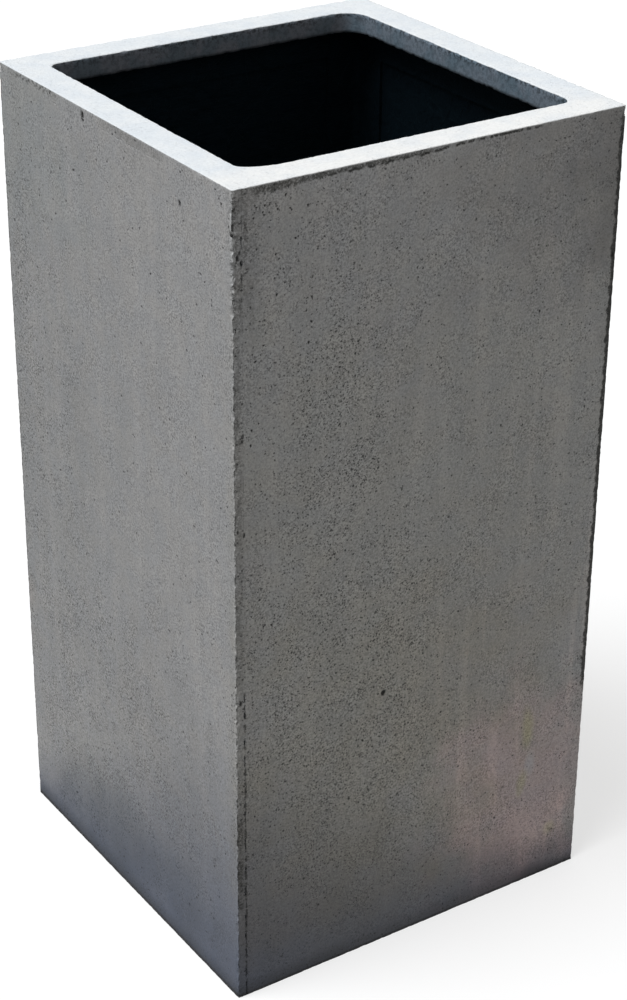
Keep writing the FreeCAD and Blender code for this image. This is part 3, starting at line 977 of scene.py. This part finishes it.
def pit_points(pit, draws):
    """Points on rings round a pit's middle, each with its share of the pit's depth."""
    u, v, radius = pit
    lean, squash = draws.uniform(0, math.tau), draws.uniform(0.1, 0.3)
    for reach, count, share in PIT_RINGS:
        for step in range(count):
            angle = math.tau * step / count
            length = reach * radius * (1 + squash * math.cos(2 * angle + lean) + 0.12 * math.sin(3 * angle))
            yield u + length * math.cos(angle), v + length * math.sin(angle), share


def rounded(u, v):
    """A place on a face to a thousandth of a millimetre, to look it up by."""
    return round(u, 6), round(v, 6)


def scatter(face, wanted, draws):
    """Points inside a face: a cell splits in four until it is as small as wanted asks at its middle."""
    columns, rows = math.ceil(face.wide / COARSE), math.ceil(face.tall / COARSE)
    width, height = face.wide / columns, face.tall / rows
    cells = []
    for column in range(columns):
        cells += [((column + 0.5) * width, (row + 0.5) * height, width, height) for row in range(rows)]
    points = []
    while cells:
        u, v, wide, tall = cells.pop()
        if max(wide, tall) > SPLIT_FROM * wanted(u, v):
            for side in (-0.25, 0.25):
                for level in (-0.25, 0.25):
                    cells.append((u + side * wide, v + level * tall, wide / 2, tall / 2))
        else:
            u += draws.uniform(-SHAKE, SHAKE) * wide
            v += draws.uniform(-SHAKE, SHAKE) * tall
            points.append((u, v))
    return points


def cast_face(shell, face, pit_count, lining, draws):
    """Triangulates a face into the shell, with its marks stored on the vertices."""
    pits = pits_on(face, pit_count, draws)
    places = KDTree(len(pits))
    for number, (u, v, _) in enumerate(pits):
        places.insert((u, v, 0), number)
    places.balance()
    growth = LINING_GROWTH if lining else CAST_GROWTH

    def wanted(u, v):
        gap = face.edge_gap(u, v)
        if pits:
            _, number, apart = places.find((u, v, 0))
            gap = min(gap, max(apart - pits[number][2], 0))
        if not lining and roughness_at(face.point(u, v)) > BROKEN:
            return FINE
        return max(FINE, min(COARSE, growth * gap))

    marks = [(u, v, 0.0) for u, v in border(face)]
    for pit in pits:
        marks += [(u, v, share * pit[2] / MM) for u, v, share in pit_points(pit, draws)]
    for u, v in scatter(face, wanted, draws):
        apart = 1.0
        if pits:
            _, number, apart = places.find((u, v, 0))
            apart -= PIT_CLEARANCE * pits[number][2]
        if apart > 0:
            marks.append((u, v, 0.0))
    flat = [Vector((u, v)) for u, v, _ in marks]
    corners, _, triangles, _, _, _ = delaunay_2d_cdt(flat, [], [], 0, ONE_POINT)
    depths = {rounded(u, v): depth for u, v, depth in marks}
    add_triangles(shell, face, corners, triangles, depths, lining)


def write_marks(vertex, layers, depth=0.0):
    """Stores on a vertex how worn the skin is there, how dark with dirt and painted shade, how rough and how
    pitted.
    """
    place = vertex.co
    values = (wear_at(place), dirt_and_shade_at(place), roughness_at(place), max(depth, notch_at(place)))
    for layer, value in zip(layers, values):
        vertex[layer] = value


def add_triangles(shell, face, corners, triangles, depths, lining):
    """Adds a triangulated face to the shell and writes its marks."""
    layers = [shell.verts.layers.float[name] for name in MARKS]
    inside = shell.faces.layers.int["lining"]
    made = []
    for corner in corners:
        vertex = shell.verts.new(face.point(corner.x, corner.y))
        write_marks(vertex, layers, depths.get(rounded(corner.x, corner.y), 0.0))
        made.append(vertex)
    for triangle in triangles:
        new = shell.faces.new([made[place] for place in triangle])
        new[inside] = 1 if lining else 0
        new.smooth = True


def new_shell():
    """An empty mesh under construction, with a layer for each mark."""
    shell = bmesh.new()
    for name in MARKS:
        shell.verts.layers.float.new(name)
    shell.faces.layers.int.new("lining")
    return shell


def finish_shell(shell, name):
    """Turns the shell into an object."""
    mesh = bpy.data.meshes.new(name)
    shell.to_mesh(mesh)
    shell.free()
    return new_object(name, mesh)


def panel_faces(low, high):
    """The six faces of a panel, each drawn so that across x up looks outwards."""
    size = high - low
    x, y, z = Vector((size.x, 0, 0)), Vector((0, size.y, 0)), Vector((0, 0, size.z))
    return [
        Face(low, x, z, "front"),
        Face(low + x, y, z, "right"),
        Face(low + x + y, -x, z, "back"),
        Face(low + y, -y, z, "left"),
        Face(low + z, x, y, "top"),
        Face(low + y, x, -y, "bottom"),
    ]


def at_a_joint(point):
    """Whether a point lies where two pieces meet flush."""
    seam = max(abs(abs(point.x) - SEAM), HALF - abs(point.y))
    return min(abs(point.z - JOINT), seam) < ON_A_LINE


def cast_panel(node, outside, number):
    """A wall panel whose main face looks outside, with its black lining opposite."""
    draws = random.Random(SEED + number)
    low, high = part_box(node)
    shell = new_shell()
    for face in panel_faces(low, high):
        lining = face.facing == OPPOSITE[outside]
        count = PITS_PER_FACE if face.facing == outside else 0
        cast_face(shell, face, count, lining, draws)
    bmesh.ops.remove_doubles(shell, verts=shell.verts, dist=WELD)
    for edge in shell.edges:
        edge.smooth = not all(at_a_joint(vertex.co) for vertex in edge.verts)
    return finish_shell(shell, node + "_cast")


# --- rim -----------------------------------------------------------------------------------------------

# How far each corner of the mouth is rounded along X and along Y. They differ, as hand work does.
MOUTH_CORNERS = {
    "front_left": Vector((45, 17)) * MM,
    "front_right": Vector((10, 12)) * MM,
    "back_right": Vector((25, 22)) * MM,
    "back_left": Vector((10, 12)) * MM,
}
SIDES = (  # the sides in turn, each from one corner to the next
    ("front_left", "front_right"),
    ("front_right", "back_right"),
    ("back_right", "back_left"),
    ("back_left", "front_left"),
)
RIM_STEP = 1.1 * MM  # spacing of the sections round the rim
# Points of the section, in millimetres: across the flat top from the outside, and under the lip.
FLAT_WIDTH = 31.5
FLAT_STEPS = (0, 0.8, 1.7, 2.8, 4.2, 6, 8.5, 11.5, 15, 18.5, 22, 25, 27.5, 29, 30, 30.8)
LIP_STEPS = (0, 0.8, 2, 5)
SEAT_SHARES = (0, 0.3, 0.55, 0.75, 0.88, 0.95)  # and from the lip's back to the outside, on the walls
# Steps of the section up the outside, round the mouth's edge, down the lip and up its back.
OUTER_STEPS, ROUND_STEPS, DROP_STEPS, BACK_STEPS = 10, 4, 14, 4


def mouth_edge(share, along, across):
    """A point of the mouth's edge on the front side, and the way into the rim there.

    share runs from 0 at the middle of the side to 1 or -1 at the middle of a corner, whose curve reaches
    along the side and across it.
    """
    straight = MOUTH - along
    curve = math.pi / 4 * math.hypot(along, across) / math.sqrt(2)
    place = abs(share) * (straight + curve)
    turn = max(place - straight, 0) / curve * math.pi / 4
    point = Vector((min(place, straight) + along * math.sin(turn), across * (1 - math.cos(turn)) - MOUTH))
    out = Vector((math.sin(turn) * across, -math.cos(turn) * along)).normalized()
    if share < 0:
        point.x, out.x = -point.x, -out.x
    return point, out


def spread(start, end, count):
    """Places from start up to, and not including, end."""
    return [start + (end - start) * step / count for step in range(count)]


def rim_profile(outer, mouth, out):
    """The rim's section at one place round it, as points in a loop."""
    steps = [(outer, level) for level in spread(JOINT, TOP, OUTER_STEPS)]
    inner_top = mouth + out * MOUTH_ROUND
    steps += [(outer.lerp(inner_top, gap / FLAT_WIDTH), TOP) for gap in FLAT_STEPS]
    for turn in spread(0, math.pi / 2, ROUND_STEPS):
        inset, drop = MOUTH_ROUND * (1 - math.sin(turn)), MOUTH_ROUND * (1 - math.cos(turn))
        steps.append((mouth + out * inset, TOP - drop))
    steps += [(mouth, level) for level in spread(TOP - MOUTH_ROUND, LIP_FOOT, DROP_STEPS)]
    steps += [(mouth + out * (inset * MM), LIP_FOOT) for inset in LIP_STEPS]
    back = mouth + out * LIP_THICK
    steps += [(back, level) for level in spread(LIP_FOOT, JOINT, BACK_STEPS)]
    return steps + [(back.lerp(outer, share), JOINT) for share in SEAT_SHARES]


def rim_wear(flat, level, mouth_gap):
    """How worn the rim is: crisp along the outside, nicked along the mouth, blunt at the near corner."""
    x, y = flat
    off_x, off_y = HALF - abs(x), HALF - abs(y)
    blunt = 1.3 if x < 0 and y < 0 else 0.7
    wear = blunt * fade(math.hypot(off_x, off_y), 0.0, 3.5 * MM)
    wear = max(wear, 0.42 * fade(math.hypot(TOP - level, min(off_x, off_y)), 0.0, 2.0 * MM))
    wear = max(wear, 0.34 * fade(math.hypot(TOP - level, mouth_gap), 0.5 * MM, 2.6 * MM))
    wear = max(wear, 0.60 * fade(math.hypot(level - LIP_FOOT, mouth_gap), 0.0, 2.6 * MM))
    joint = fade(math.hypot(level - JOINT, min(off_x, off_y)), 0.0, JOINT_REACH)
    return max(wear, chipped_foot(flat) * joint)


def cast_rim():
    """The rim as one closed ring: its section is carried round the square."""
    shell = new_shell()
    layers = [shell.verts.layers.float[name] for name in MARKS]
    per_side = round(2 * HALF / RIM_STEP)
    rings = []
    for side, (begin, end) in enumerate(SIDES):
        turn = Matrix.Rotation(side * math.pi / 2, 3, "Z")
        for step in range(per_side):
            share = 2 * step / per_side - 1
            reach = MOUTH_CORNERS[begin if share < 0 else end]
            along, across = (reach.x, reach.y) if side % 2 == 0 else (reach.y, reach.x)
            mouth, out = mouth_edge(share, along, across)
            ring = []
            for flat, level in rim_profile(Vector((share * HALF, -HALF)), mouth, out):
                vertex = shell.verts.new(turn @ Vector((flat.x, flat.y, level)))
                write_marks(vertex, layers)
                vertex[layers[0]] = rim_wear(vertex.co.xy, level, (flat - mouth).length)
                ring.append(vertex)
            rings.append(ring)
    for ring, following in zip(rings, rings[1:] + rings[:1]):
        for place in range(len(ring)):
            after = (place + 1) % len(ring)
            quad = (ring[place], following[place], following[after], ring[after])
            shell.faces.new(quad).smooth = True
        shell.edges.get((ring[0], following[0])).smooth = False
    return finish_shell(shell, "rim_frame_cast")


# --- weathering, as geometry nodes ---------------------------------------------------------------------

RAGGED_SIZE = 2.2 * MM  # size of the lumps along a worn arris
CRUMB_SIZE = 3.2 * MM  # and of the crumbs of a rough part


def new_shaping(name, sizes, inputs):
    """A geometry tree that takes and gives a mesh, and what its inputs give inside it.

    sizes are its measures in millimetres; inputs are the rest, as new_group takes them.
    """
    mesh = ("Geometry", "Geometry")
    measures = [(label, "Float", size * MM) for label, size in sizes.items()]
    return new_group(name, [(*mesh, None), *measures, *inputs], [mesh], "GeometryNodeTree")


def in_material(tree, geometry, material):
    """Geometry in a material."""
    return add(tree, "GeometryNodeSetMaterial", {"Geometry": geometry, "Material": material}).outputs[0]


def made_real(tree, geometry):
    """Geometry without instances."""
    return add(tree, "GeometryNodeRealizeInstances", {0: geometry}).outputs[0]


def stored(tree, name, kind="FLOAT"):
    """A mark that the mesh carries."""
    return add(tree, "GeometryNodeInputNamedAttribute", {"Name": name}, data_type=kind).outputs[0]


def lumps(tree, given, size, detail):
    """Noise with blobs of a size, drawn anew for each seed."""
    sources = {"Scale": maths(tree, "DIVIDE", 1.0, size), "Detail": detail, "W": given["Seed"]}
    return add(tree, "ShaderNodeTexNoise", sources, noise_dimensions="4D").outputs[0]


def in_use(sockets):
    """The socket for vectors that a node uses."""
    return next(socket for socket in sockets if socket.enabled and socket.type == "VECTOR")


def worn_depth(tree, given):
    """How deep the surface goes back: arrises ragged and chipped, pits sunk, rough parts broken up."""
    chips = ramp(tree, lumps(tree, given, given["Chip Size"], 4.0), 0.44, 0.66)
    chips = times(tree, given["Chip Depth"], chips)
    ragged = times(tree, given["Arris Wear"], lumps(tree, given, RAGGED_SIZE, 1.0))
    worn = times(tree, stored(tree, "wear"), plus(tree, times(tree, 2.0, ragged), chips))
    sunk = times(tree, stored(tree, "pit"), given["Pit Depth"])
    crumbs = ramp(tree, lumps(tree, given, CRUMB_SIZE, 2.0), 0.40, 0.68)
    broken = times(tree, times(tree, stored(tree, "rough"), given["Rough Depth"]), crumbs)
    return plus(tree, plus(tree, worn, sunk), broken)


def leaning_normal(tree, given):
    """The way out of the surface, which leans to one face or the other where an arris is worn."""
    lean = ramp(tree, lumps(tree, given, times(tree, 1.4, given["Chip Size"]), 4.0), 0.43, 0.57, -0.92, 0.92)
    lean = times(tree, lean, maths(tree, "GREATER_THAN", stored(tree, "wear"), 0.3))
    skew = joined(tree, plus(tree, 1.0, lean), minus(tree, 1.0, lean), 1.0)
    smooth = add(tree, "GeometryNodeBlurAttribute", {"Iterations": 3}, data_type="FLOAT_VECTOR")
    tree.links.new(add(tree, "GeometryNodeInputNormal").outputs[0], in_use(smooth.inputs))
    return vectors(tree, "MULTIPLY", in_use(smooth.outputs), skew)


def make_weathering():
    """Geometry nodes that wear a cast piece."""
    sizes = {"Arris Wear": 0.6, "Chip Depth": 3.0, "Chip Size": 6.5, "Pit Depth": 0.9, "Rough Depth": 0.9}
    tree, given = new_shaping("weathering", sizes, [
        ("Seed", "Float", 0.0), ("Cast Finish", "Material", None), ("Lining Finish", "Material", None)])
    inward = times(tree, -1.0, worn_depth(tree, given))
    offset = scaled(tree, leaning_normal(tree, given), inward)
    moved = add(tree, "GeometryNodeSetPosition", {"Geometry": given["Geometry"], "Offset": offset})
    cast = in_material(tree, made_real(tree, moved.outputs[0]), given["Cast Finish"])
    lined = add(tree, "GeometryNodeSetMaterial", {
        "Geometry": cast, "Selection": stored(tree, "lining", "INT"), "Material": given["Lining Finish"]})
    add(tree, "NodeGroupOutput", {"Geometry": lined.outputs[0]})
    return tree


def apply_nodes(thing, tree, values):
    """Runs a geometry tree on an object with the given inputs and keeps the result as its mesh."""
    modifier = thing.modifiers.new(tree.name, "NODES")
    modifier.node_group = tree
    sockets = {item.name: item.identifier for item in tree.interface.items_tree if item.in_out == "INPUT"}
    for name, value in values.items():
        modifier[sockets[name]] = value
    bpy.context.view_layer.update()
    graph = bpy.context.evaluated_depsgraph_get()
    mesh = bpy.data.meshes.new_from_object(thing.evaluated_get(graph))
    thing.modifiers.remove(modifier)
    rough = thing.data
    thing.data = mesh
    mesh.name = thing.name
    bpy.data.meshes.remove(rough)


# --- glass strands in the resin ------------------------------------------------------------------------

INWARD = 0.05  # a face that looks inwards scores above this
ABOVE_BASE = 34 * MM  # only faces above this level get strands
BURIED = 0.6 * MM  # how far a trimmed strand reaches into the wall that it meets
BASE_REACH = 40 * MM  # upward faces below this level belong to the base
LEAST_AREA = 0.0008  # faces smaller than this, in square metres, get no strands
INNER_LOW = (-SEAM - BURIED, -SEAM - BURIED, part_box("base_panel")[1].z - BURIED)
INNER_HIGH = (SEAM + BURIED, SEAM + BURIED, JOINT - BURIED)


def resin_faces(name, nodes, lowest):
    """The flat faces above a level that the mat of glass strands shows on, as a mesh to strew them on."""
    carrier = bmesh.new()
    for node in nodes:
        piece = bmesh.new()
        piece.from_mesh(frame["nodes"][node].data)
        for face in piece.faces:
            middle = face.calc_center_median()
            inwards = -(face.normal.x * middle.x + face.normal.y * middle.y) > INWARD
            upwards = face.normal.z > 0.9 and middle.z < BASE_REACH
            if (inwards or upwards) and face.calc_area() > LEAST_AREA and middle.z > lowest:
                carrier.faces.new([carrier.verts.new(vertex.co) for vertex in face.verts])
        piece.free()
    return finish_shell(carrier, name)


def bent_strand(tree, given):
    """One short, bent strand with closed ends."""
    half = times(tree, 0.5, given["Strand Length"])
    path = add(tree, "GeometryNodeCurveQuadraticBezier", {
        "Resolution": 4, "Start": joined(tree, times(tree, -1.0, half)),
        "Middle": joined(tree, y=given["Strand Bend"]), "End": joined(tree, half)})
    return tube(tree, path.outputs[0], 4, given["Strand Radius"])


def tube(tree, path, sides, radius):
    """A closed tube along a path."""
    section = add(tree, "GeometryNodeCurvePrimitiveCircle", {"Resolution": sides, "Radius": radius})
    return add(tree, "GeometryNodeCurveToMesh", {
        "Curve": path, "Profile Curve": section.outputs[0], "Fill Caps": True}).outputs[0]


def make_strand_mat():
    """Geometry nodes that strew short glass strands over faces, half sunk in the resin."""
    sizes = {"Strand Length": 38, "Strand Radius": 0.45, "Strand Bend": 5}
    tree, given = new_shaping("strand_mat", sizes, [
        ("Strands per m2", "Float", 3200.0), ("Inner Low", "Vector", INNER_LOW),
        ("Inner High", "Vector", INNER_HIGH), ("Seed", "Int", 3), ("Finish", "Material", None)])
    strewn = add(tree, "GeometryNodeDistributePointsOnFaces", {
        "Mesh": given["Geometry"], "Density": given["Strands per m2"], "Seed": given["Seed"]})
    turn = add(tree, "FunctionNodeRandomValue", {
        "Min": (0, 0, 0), "Max": (0, 0, math.tau), "Seed": given["Seed"]}, data_type="FLOAT_VECTOR")
    spin = add(tree, "FunctionNodeEulerToRotation", {0: turn.outputs[0]})
    way = add(tree, "FunctionNodeRotateRotation", {
        "Rotation": strewn.outputs["Rotation"], "Rotate By": spin.outputs[0]}, rotation_space="LOCAL")
    size = add(tree, "FunctionNodeRandomValue", {2: 0.45, 3: 1.15, "Seed": given["Seed"]}, data_type="FLOAT")
    laid = add(tree, "GeometryNodeInstanceOnPoints", {
        "Points": strewn.outputs["Points"], "Instance": bent_strand(tree, given),
        "Rotation": way.outputs[0], "Scale": joined(tree, size.outputs[1], size.outputs[1], 0.5)})
    place = add(tree, "GeometryNodeInputPosition").outputs[0]
    place = vectors(tree, "MINIMUM", vectors(tree, "MAXIMUM", place, given["Inner Low"]), given["Inner High"])
    trimmed = add(tree, "GeometryNodeSetPosition", {
        "Geometry": made_real(tree, laid.outputs[0]), "Position": place})
    add(tree, "NodeGroupOutput", {"Geometry": in_material(tree, trimmed.outputs[0], given["Finish"])})
    return tree


# --- drain plug ----------------------------------------------------------------------------------------

# Radius and height of the plug's outline from its foot to the top of its knob, in millimetres.
PLUG_OUTLINE = (
    (0, 20), (11.6, 20), (12.3, 20.15), (12.7, 20.7), (14.5, 24.6), (14.7, 25.6), (14.7, 27.2),
    (14.25, 27.7), (14.25, 28.6), (14.7, 29.1), (14.7, 30.8), (14.25, 31.3), (14.25, 32.2), (14.7, 32.7),
    (14.7, 34.5), (14.9, 35), (23.2, 35), (23.8, 35.2), (24, 35.8), (24, 38.2), (23.8, 38.8), (23.2, 39),
    (20.5, 39), (20.1, 38.6), (19.5, 38.6), (19.1, 39), (8.2, 39), (6.6, 39.5), (5.6, 40.5), (5.1, 42),
    (5, 44.2), (5.3, 45.8), (6.1, 46.7), (7.2, 47), (7.9, 47.2), (8.45, 47.9), (8.55, 48.6), (8.55, 51.4),
    (8.35, 52.1), (7.85, 52.7), (7.2, 53), (5.4, 53), (4.9, 52.6), (0, 52.6),
)
PLUG_STEPS = 96  # points round the plug
KNOB_RIBS = 26


def turned_plug(finish):
    """The plug as one turned solid, with sealing grooves and a waisted knob, in a finish."""
    shell = bmesh.new()
    angles = [math.tau * step / PLUG_STEPS for step in range(PLUG_STEPS)]
    rings = []
    for radius, level in PLUG_OUTLINE[1:-1]:
        ring = [Vector((radius * math.cos(angle), radius * math.sin(angle), level)) * MM for angle in angles]
        rings.append([shell.verts.new(point) for point in ring])
    foot = shell.verts.new((0, 0, PLUG_OUTLINE[0][1] * MM))
    head = shell.verts.new((0, 0, PLUG_OUTLINE[-1][1] * MM))
    for step in range(PLUG_STEPS):
        after = (step + 1) % PLUG_STEPS
        shell.faces.new((foot, rings[0][after], rings[0][step]))
        shell.faces.new((head, rings[-1][step], rings[-1][after]))
        for below, above in zip(rings, rings[1:]):
            quad = (below[step], below[after], above[after], above[step])
            shell.faces.new(quad).smooth = True
    plug = finish_shell(shell, "drain_plug_turned")
    plug.data.materials.append(finish)
    return plug


def make_knob_ribs():
    """Geometry nodes that set upright grip ribs round the knob."""
    sizes = {"Circle Radius": 8.5, "Rib Radius": 0.5, "Rib Foot": 48.1, "Rib Height": 3.8}
    tree, given = new_shaping("knob_ribs", sizes, [("Ribs", "Int", KNOB_RIBS), ("Finish", "Material", None)])
    knob = add(tree, "GeometryNodeCurvePrimitiveCircle", {
        "Resolution": given["Ribs"], "Radius": given["Circle Radius"]})
    raised = add(tree, "GeometryNodeSetPosition", {
        "Geometry": knob.outputs[0], "Offset": joined(tree, z=given["Rib Foot"])})
    line = add(tree, "GeometryNodeCurvePrimitiveLine", {
        "Start": (0, 0, 0), "End": joined(tree, z=given["Rib Height"])})
    stages = add(tree, "GeometryNodeResampleCurve", {"Curve": line.outputs[0], "Count": 5})
    along = add(tree, "GeometryNodeSplineParameter").outputs["Factor"]
    belly = maths(tree, "POWER", maths(tree, "SINE", times(tree, math.pi, along)), 0.4)
    swell = add(tree, "GeometryNodeSetCurveRadius", {
        "Curve": stages.outputs[0], "Radius": larger(tree, 0.25, belly)})
    rib = tube(tree, swell.outputs[0], 8, given["Rib Radius"])
    placed = add(tree, "GeometryNodeInstanceOnPoints", {"Points": raised.outputs[0], "Instance": rib})
    dressed = in_material(tree, made_real(tree, placed.outputs[0]), given["Finish"])
    add(tree, "NodeGroupOutput", {"Geometry": dressed})
    return tree


# --- assembly ------------------------------------------------------------------------------------------

make_camera()
make_world()
make_floor()
make_sun()

GROUPS = {"air_holes": make_air_holes(), "cloudiness": make_cloudiness()}
GROUPS["cast_stone"] = make_cast_stone(GROUPS)
WALL_FINISH = wall_finish(GROUPS)
RIM_FINISH = rim_finish(GROUPS)
BLACK_LAMINATE = laminate_finish("black_laminate", GROUPS, 0.0036, (0.5, 1.0, 1.5), 0.55)
RAW_LAMINATE = laminate_finish("raw_laminate", GROUPS, 0.15, (1.05, 1.0, 0.8), 0.32)
PLUG_RUBBER = rubber_finish(GROUPS)

weathering = make_weathering()
WALLS = (("left_wall", "left"), ("right_wall", "right"), ("front_wall", "front"), ("back_wall", "back"))
for number, (node, outside) in enumerate(WALLS):
    panel = cast_panel(node, outside, number)
    apply_nodes(panel, weathering, {
        "Seed": number + 1.0, "Cast Finish": WALL_FINISH, "Lining Finish": BLACK_LAMINATE})
    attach(panel, "planter")
    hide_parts(node)

RIM_SEED = 9.0
RIM_CHIPS = 1.3 * MM  # the rim is chipped less deeply than the walls
rim = cast_rim()
apply_nodes(rim, weathering, {
    "Seed": RIM_SEED, "Chip Depth": RIM_CHIPS, "Cast Finish": RIM_FINISH, "Lining Finish": BLACK_LAMINATE})
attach(rim, "planter")
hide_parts("rim_frame")

INNER_FACES = [node for node, _ in WALLS] + ["base_panel"] + [
    subpart["node"] for subpart in frame["record"]["subparts"] if "_tape_" in subpart["node"]]
strand_mat = make_strand_mat()
strands = resin_faces("glass_strands", INNER_FACES, ABOVE_BASE)
apply_nodes(strands, strand_mat, {"Finish": BLACK_LAMINATE})
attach(strands, "planter")

plug = turned_plug(PLUG_RUBBER)
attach(plug, "plug")
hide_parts("drain_plug")
ribs = finish_shell(bmesh.new(), "drain_plug_ribs")
apply_nodes(ribs, make_knob_ribs(), {"Finish": PLUG_RUBBER})
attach(ribs, "plug")

SLOT_FINISH = {"black_laminate": BLACK_LAMINATE, "raw_laminate": RAW_LAMINATE, "plug_rubber": PLUG_RUBBER}
for subpart in frame["record"]["subparts"]:
    finish = SLOT_FINISH.get(subpart["material_slot"])
    if finish:
        mesh = frame["nodes"][subpart["node"]].data
        mesh.materials.clear()
        mesh.materials.append(finish)

bpy.context.scene.view_settings.view_transform = "Standard"
